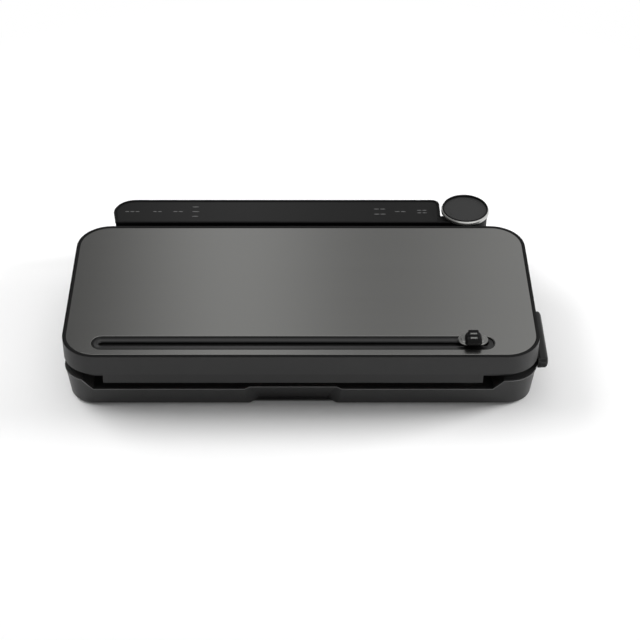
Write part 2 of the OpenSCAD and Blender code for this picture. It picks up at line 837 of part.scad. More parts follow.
module vacuum_tube() {
    x0 = pump_x + upright_gap / 2 + upright_t;
    back = channel_y + channel_w / 2 + wall;
    points = [[x0, pump_y, tube_z], [port_x, pump_y, tube_z], [port_x, pump_y, port_z],
        [port_x, back, port_z]];
    ends = [[x0 - over, pump_y, tube_z], [port_x, pump_y, tube_z], [port_x, pump_y, port_z],
        [port_x, back - over, port_z]];
    color("lightgray") difference() {
        pipe_run(points, tube_r);
        pipe_run(ends, tube_r - 1);
    }
}

module hand_hose() {
    coil = [coil_x, coil_y, hose_z];
    color("darkgray") {
        for (turn = [0:2]) translate(coil) rotate_extrude()
            translate([coil_r - turn * (2 * hose_r + 1), 0]) circle(hose_r);
        pipe_run([[coil[0] + coil_r, coil[1], coil[2]], [coil[0] + coil_r, hose_y, coil[2]],
            [hose_end, hose_y, coil[2]]], hose_r);
    }
}

// ---- Latch ----

module latch_shaft() {
    color("silver") x_rod(-bearing_x - bearing_w / 2 - 2, lever_x1 - 2, latch_y, latch_z, shaft_r);
}

module latch_lever() {
    end_r = lever_h / 2;
    y0 = latch_y - lever_l;
    y1 = latch_y + lever_tail;
    pad_x = base_w / 2 + 0.3;
    color("dimgray") difference() {
        union() {
            across(lever_x0, lever_x1) {
                translate([y0 + end_r, lever_z - end_r]) square([y1 - y0 - lever_h, lever_h]);
                for (y = [y0 + end_r, y1 - end_r]) translate([y, lever_z]) circle(end_r);
            }
            box(pad_x, y0 + end_r, lever_z - end_r, lever_x0, y0 + end_r + lever_pad - lever_h,
                min(lever_z + end_r, band_z - 0.6));
        }
        x_rod(lever_x0 - over, lever_x1 - 2, latch_y, latch_z, shaft_r + seat);
    }
}

module hook_outline() {
    difference() {
        union() {
            circle(shaft_r + 2);
            rotate(hook_back_a + 8) translate([0, -2.2]) square([hook_in_r + 1.5, 4.4]);
            difference() {
                circle(hook_out_r);
                circle(hook_in_r);
                rotate(hook_open_a) square(2 * hook_out_r);
                rotate(hook_open_a + 90) square(2 * hook_out_r);
                rotate(hook_back_a - 90) square(2 * hook_out_r);
                rotate(hook_back_a - 180) square(2 * hook_out_r);
            }
        }
        circle(shaft_r + seat);
    }
}

module latch_hooks() {
    color("silver") for (s = [-1, 1]) across(s * hook_x - hook_t / 2, s * hook_x + hook_t / 2)
        translate([latch_y, latch_z]) hook_outline();
}

// ---- Lid ----

module lid_cover() {
    eye_x = hinge_x + tower_w / 2 + tower_play;
    color("gray") difference() {
        union() {
            difference() {
                swept_slab(lid_w, lid_d, lid_r, band_z, lid_z) polygon(concat(
                    [[0, band_z], [lid_r, band_z]],
                    arc([lid_r - lid_edge_r, lid_z - lid_edge_r], lid_edge_r, 0, 90, 4),
                    [[0, lid_z]]));
                round_slab(lid_w - 2 * wall, lid_d - 2 * wall, lid_r - wall, band_z - over, roof_z);
                round_slab(lid_w - 2 * rim_w, lid_d - 2 * rim_w, lid_r - rim_w, lid_z - panel_t, lid_z + over);
                translate([bag_x, track_y, 0]) stadium(track_l - 2 * flange_w + 2 * fit,
                    track_w - 2 * flange_w + 2 * fit, band_z, lid_z + over);
            }
            at_each(lid_screw_xy) disc(0, 0, inner_z + wall, roof_z + 0.5, boss_r);
            both_sides() for (x = [eye_x, 2 * hinge_x - eye_x - lug_w]) across(x, x + lug_w) {
                translate([hinge_y - hinge_eye_r, hinge_z]) square([2 * hinge_eye_r, roof_z - hinge_z + 0.5]);
                translate([hinge_y, hinge_z]) circle(hinge_eye_r);
            }
        }
        both_sides() {
            x_rod(hinge_x - tower_w, hinge_x + tower_w, hinge_y, hinge_z, hinge_pin_r + seat);
            box(hinge_x - tower_w / 2 - 1, lid_d / 2 - wall - over, band_z - over,
                hinge_x + tower_w / 2 + 1, lid_d / 2 + over, hinge_z - 0.5);
        }
        at_each(lid_screw_xy) disc(0, 0, inner_z, roof_z - 6, screw_r + seat);
    }
}

module lid_panel() {
    color("lightgray") difference() {
        round_slab(lid_w - 2 * rim_w - 2 * fit, lid_d - 2 * rim_w - 2 * fit, lid_r - rim_w - fit,
            lid_z - panel_t, lid_z);
        translate([bag_x, track_y, 0]) stadium(track_l, track_w, lid_z - panel_t - over, lid_z + over);
    }
}

// Plan of the lower lid's tray, smaller by play all round
module inner_tray(play, z0, z1) {
    w = lid_w - 2 * inner_inset;
    d = lid_d - inner_inset - inner_back;
    translate([0, (inner_inset - inner_back) / 2, 0])
        round_slab(w - 2 * play, d - 2 * play, lid_r - inner_inset - play, z0, z1);
}

module lid_inner() {
    pad_y0 = -lid_d / 2 + pad_back;
    pad_y1 = zone_y - 1;
    x0 = bag_x - pad_w / 2;
    x1 = bag_x + pad_w / 2;
    color("dimgray") difference() {
        union() {
            difference() {
                union() {
                    inner_tray(0, inner_z, inner_top);
                    round_slab(lid_w - 2 * wall - 2 * fit, lid_d - 2 * wall - 2 * fit, lid_r - wall - fit,
                        band_z, inner_top);
                    box(x0, pad_y0, pad_z, x1, pad_y1, band_z);
                }
                inner_tray(wall, inner_z + wall, inner_top + over);
                box(x0 + wall, pad_y0 + wall, pad_z + wall, x1 - wall, pad_y1 - wall, inner_top + over);
            }
            intersection() {
                inner_tray(0, inner_z, inner_top);
                box(-lid_w, latch_y - groove_w - 1.5, inner_z, lid_w, latch_y + groove_w + 1.5,
                    groove_z + 1.5);
            }
        }
        box(-lid_w, latch_y - groove_w, inner_z - over, lid_w, latch_y + groove_w, groove_z);
        translate([bag_x, channel_y, 0]) ring(pad_z - over, pad_z + ring_seat, seat);
        translate([bag_x, track_y, 0]) stadium(cutter_run + blade_l + 4, pad_slot_w, pad_z - over, inner_top + over);
        for (s = [-1, 1])
            box(s * hook_x - hook_gap, latch_y - groove_w - 2, inner_z - over,
                s * hook_x + hook_gap, latch_y + 22.5, inner_top + over);
        both_sides() box(hinge_x - tower_w / 2 - 1, hinge_y - hinge_eye_r - 1.5, inner_z - over,
            hinge_x + tower_w / 2 + 1, lid_d / 2, inner_top + over);
        at_each(lid_screw_xy) {
            disc(0, 0, inner_z - over, inner_top, screw_r + fit);
            disc(0, 0, inner_z - over, inner_z + 1, screw_head_r + fit);
        }
    }
}

module lid_screws() {
    color("silver") at_each(lid_screw_xy) screw_up(inner_z + 0.1, inner_z + 16, 0.9);
}

module upper_gasket() {
    color("black") translate([bag_x, channel_y, 0]) ring(seal_top, pad_z + ring_seat, 0);
}

module pressure_strip() {
    color("firebrick") box(bag_x - bar_l / 2, bar_y - bar_w / 2, seal_top, bag_x + bar_l / 2,
        bar_y + bar_w / 2, pad_z);
}

module hinge_pins() {
    half = tower_w / 2 + tower_play + lug_w;
    color("silver") both_sides() x_rod(hinge_x - half, hinge_x + half, hinge_y, hinge_z, hinge_pin_r);
}

module lid_catches() {
    pin_z = latch_z + catch_rise;
    cheek = hook_gap + 2;
    color("silver") for (s = [-1, 1]) {
        for (x = [s * hook_x - cheek, s * hook_x + hook_gap])
            box(x, latch_y - 3.5, pin_z - 3, x + 2, latch_y + 3.5, roof_z);
        box(s * hook_x - cheek, latch_y - 3.5, roof_z - 1.2, s * hook_x + cheek, latch_y + 3.5, roof_z);
        x_rod(s * hook_x - cheek, s * hook_x + cheek, latch_y, pin_z, catch_r);
    }
}

// ---- Cutter ----

module cutter_track() {
    body_w = track_w - 2 * flange_w;
    dish_w = track_w - 2 * dish_rim;
    span = track_l - track_w;
    color("black") translate([bag_x, track_y, 0]) difference() {
        union() {
            stadium(track_l - 2 * fit, track_w - 2 * fit, lid_z - panel_t, lid_z);
            stadium(track_l - 2 * flange_w, body_w, track_bottom, lid_z - panel_t / 2);
        }
        across(-span / 2, span / 2) polygon([
            [-dish_w / 2, lid_z], [-blade_slot / 2, lid_z - dish_h], [blade_slot / 2, lid_z - dish_h],
            [dish_w / 2, lid_z], [dish_w / 2, lid_z + over], [-dish_w / 2, lid_z + over]]);
        for (s = [-1, 1]) translate([s * span / 2, 0, lid_z - dish_h])
            cylinder(r1 = blade_slot / 2, r2 = dish_w / 2, h = dish_h);
        stadium(span + blade_slot, blade_slot, track_bottom - over, lid_z);
        stadium(span + rail_w - 2, rail_w, track_bottom - over, rail_z);
    }
}

module cutter_plate() {
    z0 = lid_z + plate_play;
    inset = 2.2;
    color("lightgray") translate([cutter_x, track_y, 0]) {
        stadium(plate_l, plate_w, z0, z0 + plate_t);
        stadium(plate_l - 2 * inset, plate_w - 2 * inset, z0 + plate_t / 2, z0 + plate_t + plate_dome);
    }
}

module cutter_grip() {
    z0 = lid_z + plate_play + plate_t + plate_dome;
    z1 = z0 + grip_h - plate_dome;
    color("black") translate([cutter_x, track_y, 0]) {
        stadium(13, 8, z0, z0 + 1.4);
        across(-4.2, 4.2) polygon(concat(
            [[-3.6, z0], [3.6, z0]], arc([1.4, z1 - 1.6], 1.6, 0, 90, 5), arc([-1.4, z1 - 1.6], 1.6, 90, 180, 5)));
    }
}

module cutter_carriage() {
    z0 = track_bottom + foot_play;
    color("white") translate([cutter_x, track_y, 0]) {
        box(-9, -rail_w / 2 + foot_play, z0, 9, rail_w / 2 - foot_play, rail_z - foot_play);
        box(-7, -blade_slot / 2 + foot_play, z0, 7, blade_slot / 2 - foot_play, lid_z + plate_play);
    }
}

module cutter_blade() {
    z1 = track_bottom + foot_play;
    color("silver") translate([cutter_x, track_y, 0]) across(-blade_l / 2, blade_l / 2)
        polygon([[-blade_t / 2, z1], [-blade_t / 2, blade_tip + 1], [0, blade_tip], [blade_t / 2, blade_tip + 1],
            [blade_t / 2, z1]]);
}

// ---- Hand-held head ----

module head_barrel() {
    z0 = dock_floor + 6;
    color("dimgray") translate([dock_x, dock_y, 0]) difference() {
        disc(0, 0, z0, cap_z, barrel_r);
        disc(0, 0, z0 + 2, cap_z + over, barrel_r - 2);
        disc(0, 0, z0 - over, z0 + 3, 4);
        box(-4, -barrel_r - over, cap_z - 22, 4, -barrel_r + 5, cap_z - 8);
    }
}

module head_button() {
    color("silver") translate([dock_x, dock_y, 0]) {
        box(-3.7, -barrel_r + 0.8, cap_z - 21.7, 3.7, -barrel_r + 4, cap_z - 8.3);
        box(-5.4, -barrel_r + 3.6, cap_z - 23.5, 5.4, -barrel_r + 4.6, cap_z - 6.5);
    }
}

module head_cap() {
    color("black") translate([dock_x, dock_y, 0]) {
        disc(0, 0, cap_z, ring_z, cap_r);
        disc(0, 0, cap_z - 2, cap_z, barrel_r - 2 - seat);
    }
}

module cap_ring() {
    top_z = cap_z + cap_h;
    color("silver") translate([dock_x, dock_y, 0]) rotate_extrude() polygon([
        [cap_r - ring_t, ring_z], [cap_r, ring_z], [cap_r - ring_lean, top_z - cap_bevel],
        [cap_r - ring_lean - cap_bevel, top_z], [cap_r - ring_t, top_z]]);
}

module cap_disc() {
    color("black") disc(dock_x, dock_y, ring_z, cap_z + cap_h - 0.2, cap_r - ring_t - seat);
}

module head_nozzle() {
    z1 = dock_floor + 6;
    color("gray") translate([dock_x, dock_y, 0]) difference() {
        disc(0, 0, z1 - 3.2, z1, 14);
        disc(0, 0, z1 - 4, z1 + over, 4);
    }
}

module nozzle_seal() {
    z1 = dock_floor + 6 - 3.2;
    color("black") translate([dock_x, dock_y, 0]) difference() {
        disc(0, 0, dock_floor + 0.4, z1, 13);
        disc(0, 0, dock_floor, z1 + over, 8);
    }
}

placed() base_tub();
placed() base_deck();
placed() rubber_feet();
placed() case_screws();
placed() rear_housing();
placed() control_overlay();
placed() status_lights();
placed() control_board();
placed() power_board();
placed() transformer();
placed() power_inlet();
placed() lower_gasket();
placed() drip_tray();
placed() seal_bar();
placed() heating_strip();
placed() seal_tape();
placed() pump_frame();
placed() pump_motor();
placed() pump_head();
placed() pump_crank();
placed() pump_rod();
placed() pump_mounts();
placed() release_valve();
placed() valve_plunger();
placed() vacuum_tube();
placed() hand_hose();
placed() hinge_brackets();
placed() shaft_bearings();
placed() lid_switch();
placed() latch_shaft();
placed() latch_lever();
placed() latch_hooks();
placed() lid_cover();
placed() lid_panel();
placed() lid_inner();
placed() lid_screws();
placed() upper_gasket();
placed() pressure_strip();
placed() hinge_pins();
placed() lid_catches();
placed() cutter_track();
placed() cutter_plate();
placed() cutter_grip();
placed() cutter_carriage();
placed() cutter_blade();
placed() head_barrel();
placed() head_cap();
placed() cap_ring();
placed() cap_disc();
placed() head_nozzle();
placed() nozzle_seal();
placed() head_button();
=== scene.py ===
"""Vacuum sealer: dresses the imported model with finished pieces, materials, light and a camera."""
import json
import math

import bmesh
import bpy
from mathutils import Matrix, Vector


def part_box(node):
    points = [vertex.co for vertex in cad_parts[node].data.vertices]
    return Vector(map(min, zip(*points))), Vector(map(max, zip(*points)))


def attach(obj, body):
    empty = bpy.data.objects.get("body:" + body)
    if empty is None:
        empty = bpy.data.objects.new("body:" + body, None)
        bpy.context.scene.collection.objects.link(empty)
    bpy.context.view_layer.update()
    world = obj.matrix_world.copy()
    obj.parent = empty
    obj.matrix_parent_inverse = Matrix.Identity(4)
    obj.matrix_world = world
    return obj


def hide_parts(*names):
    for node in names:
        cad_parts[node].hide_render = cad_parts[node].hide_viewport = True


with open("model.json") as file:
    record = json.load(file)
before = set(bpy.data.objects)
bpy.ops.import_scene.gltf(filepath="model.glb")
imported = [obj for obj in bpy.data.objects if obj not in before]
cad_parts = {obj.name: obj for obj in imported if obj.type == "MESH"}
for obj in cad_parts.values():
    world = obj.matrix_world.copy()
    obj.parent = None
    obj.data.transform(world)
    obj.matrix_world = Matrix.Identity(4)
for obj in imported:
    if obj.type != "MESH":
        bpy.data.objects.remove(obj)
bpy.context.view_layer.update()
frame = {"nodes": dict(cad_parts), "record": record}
NODES = frame["nodes"]
MM = 0.001


# ---------------------------------------------------------------- places, from the frame

LID_LOW, LID_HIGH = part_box("lid_cover")
LID_X = (LID_LOW.x + LID_HIGH.x) / 2
LID_Y = (LID_LOW.y + LID_HIGH.y) / 2
LID_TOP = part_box("lid_panel")[1].z
OVERLAY_LOW, OVERLAY_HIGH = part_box("control_overlay")
HOUSING_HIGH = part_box("rear_housing")[1]
RING_LOW, RING_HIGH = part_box("cap_ring")
CAP_X = (RING_LOW.x + RING_HIGH.x) / 2
CAP_Y = (RING_LOW.y + RING_HIGH.y) / 2
CAP_R = (RING_HIGH.x - RING_LOW.x) / 2


# ---------------------------------------------------------------- camera, light and stage

CAMERA_TILT = math.radians(39)
WHITE = (1, 1, 1, 1)
LOOKING_RAYS = ("Is Camera Ray", "Is Glossy Ray", "Is Transmission Ray")
DOME_STRENGTH = 0.17
FLOOR_HALF = 6.0
FLOOR_COLOR = (0.88, 0.88, 0.88, 1)
SHADOW_REACH = (0.3, 0.6)
FLAG_LEVEL = 0.25
CARD_SPAN = 1.0
CARD_LEVEL = 1.3
CARD_TONES = {-1.0: 0.15, -0.42: 0.16, -0.28: 0.22, -0.1: 1.3, 0.09: 0.07, 0.28: 0.76, 0.6: 0.86}


def add_camera():
    """A long lens, 39 degrees above the table, square to the front."""
    focal_px = 1723.9
    image_px = 640
    centre_px = (300.5, 298.5)
    distance, side, rise = 1.4761, 0.00035, 0.00865
    forward = Vector((0, math.cos(CAMERA_TILT), -math.sin(CAMERA_TILT)))
    up = Vector((0, math.sin(CAMERA_TILT), math.cos(CAMERA_TILT)))
    data = bpy.data.cameras.new("camera")
    data.sensor_width = 36
    data.lens = focal_px / image_px * data.sensor_width
    data.shift_x = (image_px / 2 - centre_px[0]) / image_px
    data.shift_y = (centre_px[1] - image_px / 2) / image_px
    camera = bpy.data.objects.new("camera", data)
    aim = Vector((LID_X, LID_Y, LID_TOP))
    camera.location = aim - distance * forward - side * Vector((1, 0, 0)) - rise * up
    camera.rotation_euler = (math.pi / 2 - CAMERA_TILT, 0, 0)
    bpy.context.scene.collection.objects.link(camera)
    bpy.context.scene.camera = camera


def add_area_light(name, place, target, size, power, mirrored=False):
    """A lamp, that leaves a picture of itself in shiny faces only if it is mirrored."""
    data = bpy.data.lights.new(name, "AREA")
    data.shape = "RECTANGLE"
    data.size, data.size_y = size
    data.energy = power
    lamp = bpy.data.objects.new(name, data)
    lamp.location = place
    lamp.rotation_euler = (Vector(target) - Vector(place)).to_track_quat("-Z", "Y").to_euler()
    lamp.visible_glossy = mirrored
    bpy.context.scene.collection.objects.link(lamp)
    return lamp


def looking_mask(tree):
    """1 for the rays that see a picture of the surroundings, 0 for those that only carry light."""
    path = tree.nodes.new("ShaderNodeLightPath")
    value = path.outputs[LOOKING_RAYS[0]]
    for name in LOOKING_RAYS[1:]:
        either = tree.nodes.new("ShaderNodeMath")
        either.operation = "MAXIMUM"
        tree.links.new(value, either.inputs[0])
        tree.links.new(path.outputs[name], either.inputs[1])
        value = either.outputs[0]
    return value


def add_world():
    """White for what looks at it, and a softer dome for what it lights."""
    world = bpy.data.worlds.new("studio")
    world.use_nodes = True
    tree = world.node_tree
    tree.nodes.clear()
    dome = tree.nodes.new("ShaderNodeBackground")
    dome.inputs["Color"].default_value = WHITE
    dome.inputs["Strength"].default_value = DOME_STRENGTH
    seen = tree.nodes.new("ShaderNodeBackground")
    seen.inputs["Color"].default_value = WHITE
    seen.inputs["Strength"].default_value = 1
    mix = tree.nodes.new("ShaderNodeMixShader")
    out = tree.nodes.new("ShaderNodeOutputWorld")
    mask = looking_mask(tree)
    tree.links.new(mask, mix.inputs["Fac"])
    tree.links.new(dome.outputs[0], mix.inputs[1])
    tree.links.new(seen.outputs[0], mix.inputs[2])
    tree.links.new(mix.outputs[0], out.inputs["Surface"])
    bpy.context.scene.world = world


def quad_object(name, corners):
    """A flat sheet through four corners."""
    mesh = bpy.data.meshes.new(name)
    mesh.from_pydata(corners, [], [(0, 1, 2, 3)])
    thing = bpy.data.objects.new(name, mesh)
    bpy.context.scene.collection.objects.link(thing)
    return thing


def add_floor():
    """A pale floor that keeps the shadow near the object and is plain white further off."""
    floor = quad_object("floor", [(sx * FLOOR_HALF, sy * FLOOR_HALF, 0)
                                  for sx, sy in ((-1, -1), (1, -1), (1, 1), (-1, 1))])
    material = bpy.data.materials.new("pale_floor")
    material.use_nodes = True
    tree = material.node_tree
    surface = tree.nodes["Principled BSDF"]
    surface.inputs["Base Color"].default_value = FLOOR_COLOR
    surface.inputs["Roughness"].default_value = 0.9
    surface.inputs["Specular IOR Level"].default_value = 0
    glow = tree.nodes.new("ShaderNodeEmission")
    glow.inputs["Strength"].default_value = 1
    mix = tree.nodes.new("ShaderNodeMixShader")
    mask = looking_mask(tree)
    place = tree.nodes.new("ShaderNodeTexCoord")
    reach = tree.nodes.new("ShaderNodeVectorMath")
    reach.operation = "LENGTH"
    tree.links.new(place.outputs["Object"], reach.inputs[0])
    fade = tree.nodes.new("ShaderNodeMapRange")
    fade.interpolation_type = "SMOOTHSTEP"
    fade.inputs["From Min"].default_value, fade.inputs["From Max"].default_value = SHADOW_REACH
    tree.links.new(reach.outputs["Value"], fade.inputs["Value"])
    far = tree.nodes.new("ShaderNodeMath")
    far.operation = "MULTIPLY"
    tree.links.new(mask, far.inputs[0])
    tree.links.new(fade.outputs[0], far.inputs[1])
    tree.links.new(far.outputs[0], mix.inputs["Fac"])
    tree.links.new(surface.outputs[0], mix.inputs[1])
    tree.links.new(glow.outputs[0], mix.inputs[2])
    tree.links.new(mix.outputs[0], tree.nodes["Material Output"].inputs["Surface"])
    floor.data.materials.append(material)


def glowing_material(name, strength):
    """A plain emission material, with its tree and its emission node."""
    material = bpy.data.materials.new(name)
    material.use_nodes = True
    tree = material.node_tree
    tree.nodes.clear()
    glow = tree.nodes.new("ShaderNodeEmission")
    glow.inputs["Strength"].default_value = strength
    out = tree.nodes.new("ShaderNodeOutputMaterial")
    tree.links.new(glow.outputs[0], out.inputs["Surface"])
    return material, tree, glow


def seen_only_in_reflections(card):
    """Hides a card of the stage from everything but shiny faces."""
    card.visible_camera = False
    card.visible_diffuse = False
    card.visible_shadow = False
    card.visible_transmission = False


def add_steel_card():
    """A large card behind the table, seen only in reflections, that shades the steel from side to side."""
    distance, half_w, half_h = 1.2, 1.1, 0.75
    across = Vector((1, 0, 0))
    up = Vector((0, -math.sin(CAMERA_TILT), math.cos(CAMERA_TILT)))
    back = Vector((0, math.cos(CAMERA_TILT), math.sin(CAMERA_TILT)))
    middle = Vector((LID_X, LID_Y, LID_TOP)) + distance * back
    card = quad_object("card", [middle + sx * half_w * across + sy * half_h * up
                                for sx, sy in ((-1, -1), (1, -1), (1, 1), (-1, 1))])
    material, tree, glow = glowing_material("shaded_card", CARD_LEVEL)
    place = tree.nodes.new("ShaderNodeTexCoord")
    split = tree.nodes.new("ShaderNodeSeparateXYZ")
    tree.links.new(place.outputs["Object"], split.inputs[0])
    spread = tree.nodes.new("ShaderNodeMapRange")
    spread.inputs["From Min"].default_value = -CARD_SPAN
    spread.inputs["From Max"].default_value = CARD_SPAN
    tree.links.new(split.outputs["X"], spread.inputs["Value"])
    ramp = tree.nodes.new("ShaderNodeValToRGB")
    ramp.color_ramp.interpolation = "B_SPLINE"
    stops = ramp.color_ramp.elements
    while len(stops) < len(CARD_TONES):
        stops.new(0.5)
    for stop, (x, level) in zip(stops, sorted(CARD_TONES.items())):
        stop.position = (x / CARD_SPAN + 1) / 2
        stop.color = (level, level, level, 1)
    tree.links.new(spread.outputs[0], ramp.inputs["Fac"])
    tree.links.new(ramp.outputs["Color"], glow.inputs["Color"])
    card.data.materials.append(material)
    seen_only_in_reflections(card)


def add_glossy_flag():
    """A grey flag at the left, seen only in reflections, so that shiny edges are brighter at the right."""
    x, front, back, low, high = -1.6, -2.4, 2.2, 0.02, 2.6
    flag = quad_object("flag", [(x, front, low), (x, back, low), (x, back, high), (x, front, high)])
    flag.data.materials.append(glowing_material("grey_flag", FLAG_LEVEL)[0])
    seen_only_in_reflections(flag)


bpy.context.scene.view_settings.view_transform = "Standard"
add_camera()
add_world()
add_floor()
add_steel_card()
add_area_light("overhead", (0.0, 0.6, 1.65), (0.0, 0.601, 0), (2.6, 1.9), 18, mirrored=True)
add_area_light("right_side", (1.87, 0.34, 0.625), (0, 0, 0), (0.72, 1.0), 44)
add_area_light("left_side", (-1.42, 0.58, 1.28), (0, 0, 0), (1.5, 1.1), 29)
add_glossy_flag()
add_area_light("front_fill", (1.2, -2.0, 0.5), (0, 0, 0.03), (1.6, 0.6), 10, mirrored=True)


# ---------------------------------------------------------------- shader groups

GROUP_OUTPUTS = ("Height", "Roughness", "Tone")


def new_group(name, inputs, outputs):
    """A shader node group with inputs {name: default} and float outputs."""
    group = bpy.data.node_groups.new(name, "ShaderNodeTree")
    for label, value in inputs.items():
        kind = "NodeSocketVector" if isinstance(value, tuple) else "NodeSocketFloat"
        socket = group.interface.new_socket(name=label, in_out="INPUT", socket_type=kind)
        socket.default_value = value
    for label in outputs:
        group.interface.new_socket(name=label, in_out="OUTPUT", socket_type="NodeSocketFloat")
    return group, group.nodes.new("NodeGroupInput"), group.nodes.new("NodeGroupOutput")


def feed(tree, socket, value):
    """Sets a socket to a number, or links it to another socket."""
    if value is None:
        return
    if isinstance(value, (int, float, tuple)):
        socket.default_value = value
    else:
        tree.links.new(value, socket)


def add_noise(tree, vector, scale, detail=2.0, roughness=0.5):
    noise = tree.nodes.new("ShaderNodeTexNoise")
    for label, value in (("Vector", vector), ("Scale", scale), ("Detail", detail), ("Roughness", roughness)):
        feed(tree, noise.inputs[label], value)
    return noise.outputs["Fac"]


def add_math(tree, operation, a, b=None, clamp=False):
    node = tree.nodes.new("ShaderNodeMath")
    node.operation = operation
    node.use_clamp = clamp
    feed(tree, node.inputs[0], a)
    feed(tree, node.inputs[1], b)
    return node.outputs[0]


def add_vector_math(tree, operation, a, b=None, output="Vector"):
    node = tree.nodes.new("ShaderNodeVectorMath")
    node.operation = operation
    feed(tree, node.inputs[0], a)
    feed(tree, node.inputs[1], b)
    return node.outputs[output]


def add_mix_color(tree, factor, a, b):
    node = tree.nodes.new("ShaderNodeMix")
    node.data_type = "RGBA"
    feed(tree, node.inputs["Factor"], factor)
    feed(tree, node.inputs[6], a)
    feed(tree, node.inputs[7], b)
    return node.outputs[2]


def object_coordinates(tree, centre=(0, 0, 0)):
    """Object coordinates, measured from a centre."""
    place = tree.nodes.new("ShaderNodeTexCoord")
    mapping = tree.nodes.new("ShaderNodeMapping")
    mapping.inputs["Location"].default_value = tuple(-c for c in centre)
    tree.links.new(place.outputs["Object"], mapping.inputs["Vector"])
    return mapping.outputs["Vector"]


def finish_group(group, start, end, height, drift, tone):
    """Links the outputs. Roughness is its input, moved by a signed mask times the Spread input."""
    change = add_math(group, "MULTIPLY", drift, start.outputs["Spread"])
    roughness = add_math(group, "ADD", start.outputs["Roughness"], change, clamp=True)
    for label, value in zip(GROUP_OUTPUTS, (height, roughness, tone)):
        group.links.new(value, end.inputs[label])
    return group


def make_moulded_grain():
    """Fine spark-eroded grain of a moulding, with slow patches of polish."""
    group, start, end = new_group("moulded_grain", {
        "Vector": (0.0, 0.0, 0.0), "Scale": 1400.0, "Roughness": 0.5, "Spread": 0.1},
        GROUP_OUTPUTS)
    grain = add_noise(group, start.outputs["Vector"], start.outputs["Scale"], 2.0)
    patch = add_noise(group, start.outputs["Vector"], 18.0, 3.0)
    drift = add_math(group, "SUBTRACT", patch, 0.5)
    speck = add_math(group, "SUBTRACT", grain, 0.5)
    tone = add_math(group, "ADD", add_math(group, "MULTIPLY", speck, 0.35),
                    add_math(group, "MULTIPLY", drift, 0.3))
    return finish_group(group, start, end, grain, drift, tone)


def make_brushed_lines():
    """Long scratches along X, in two widths."""
    group, start, end = new_group("brushed_lines", {
        "Vector": (0.0, 0.0, 0.0), "Length": 3.0, "Width": 900.0, "Roughness": 0.3, "Spread": 0.1},
        GROUP_OUTPUTS)
    layers = []
    for factor, detail in ((1.0, 3.0), (0.33, 2.0)):
        stretch = group.nodes.new("ShaderNodeCombineXYZ")
        along = add_math(group, "MULTIPLY", start.outputs["Length"], factor)
        over = add_math(group, "MULTIPLY", start.outputs["Width"], factor)
        feed(group, stretch.inputs["X"], along)
        feed(group, stretch.inputs["Y"], over)
        feed(group, stretch.inputs["Z"], over)
        drawn = add_vector_math(group, "MULTIPLY", start.outputs["Vector"], stretch.outputs[0])
        layers.append(add_noise(group, drawn, 1.0, detail, 0.6))
    line = add_math(group, "MULTIPLY", add_math(group, "ADD", *layers), 0.5)
    signed = add_math(group, "SUBTRACT", line, 0.5)
    return finish_group(group, start, end, line, signed, signed)


def make_spun_rings():
    """Fine rings round the Z axis, as a lathe tool leaves them."""
    group, start, end = new_group("spun_rings", {
        "Vector": (0.0, 0.0, 0.0), "Width": 1200.0, "Roughness": 0.3, "Spread": 0.1},
        GROUP_OUTPUTS)
    flat = add_vector_math(group, "MULTIPLY", start.outputs["Vector"], (1.0, 1.0, 0.0))
    radius = add_vector_math(group, "LENGTH", flat, output="Value")
    place = group.nodes.new("ShaderNodeCombineXYZ")
    feed(group, place.inputs["X"], add_math(group, "MULTIPLY", radius, start.outputs["Width"]))
    line = add_noise(group, place.outputs[0], 1.0, 3.0, 0.6)
    signed = add_math(group, "SUBTRACT", line, 0.5)
    return finish_group(group, start, end, line, signed, signed)


def make_foam_cells():
    """Open cells of a soft foam, with a slow rise and fall."""
    group, start, end = new_group("foam_cells", {
        "Vector": (0.0, 0.0, 0.0), "Scale": 1500.0, "Roughness": 0.9, "Spread": 0.1},
        GROUP_OUTPUTS)
    cells = group.nodes.new("ShaderNodeTexVoronoi")
    feed(group, cells.inputs["Vector"], start.outputs["Vector"])
    feed(group, cells.inputs["Scale"], start.outputs["Scale"])
    wave = add_noise(group, start.outputs["Vector"], 160.0, 2.0)
    signed = add_math(group, "SUBTRACT", cells.outputs["Distance"], 0.5)
    height = add_math(group, "ADD", cells.outputs["Distance"], wave)
    return finish_group(group, start, end, height, signed, signed)


def make_glass_weave():
    """A plain weave of flat threads, seen through its non-stick coat."""
    group, start, end = new_group("glass_weave", {
        "Vector": (0.0, 0.0, 0.0), "Pitch": 1900.0, "Roughness": 0.5, "Spread": 0.2},
        GROUP_OUTPUTS)
    split = group.nodes.new("ShaderNodeSeparateXYZ")
    feed(group, split.inputs[0], start.outputs["Vector"])
    waves = [add_math(group, "SINE", add_math(group, "MULTIPLY", split.outputs[axis], start.outputs["Pitch"]))
             for axis in ("X", "Y")]
    weave = add_math(group, "MULTIPLY", *waves)
    height = add_math(group, "ADD", add_math(group, "MULTIPLY", weave, 0.5), 0.5)
    tone = add_math(group, "MULTIPLY", weave, 0.5)
    return finish_group(group, start, end, height, tone, tone)


GROUPS = {"moulded": make_moulded_grain(), "brushed": make_brushed_lines(), "spun": make_spun_rings(),
          "foam": make_foam_cells(), "weave": make_glass_weave()}


# ---------------------------------------------------------------- materials

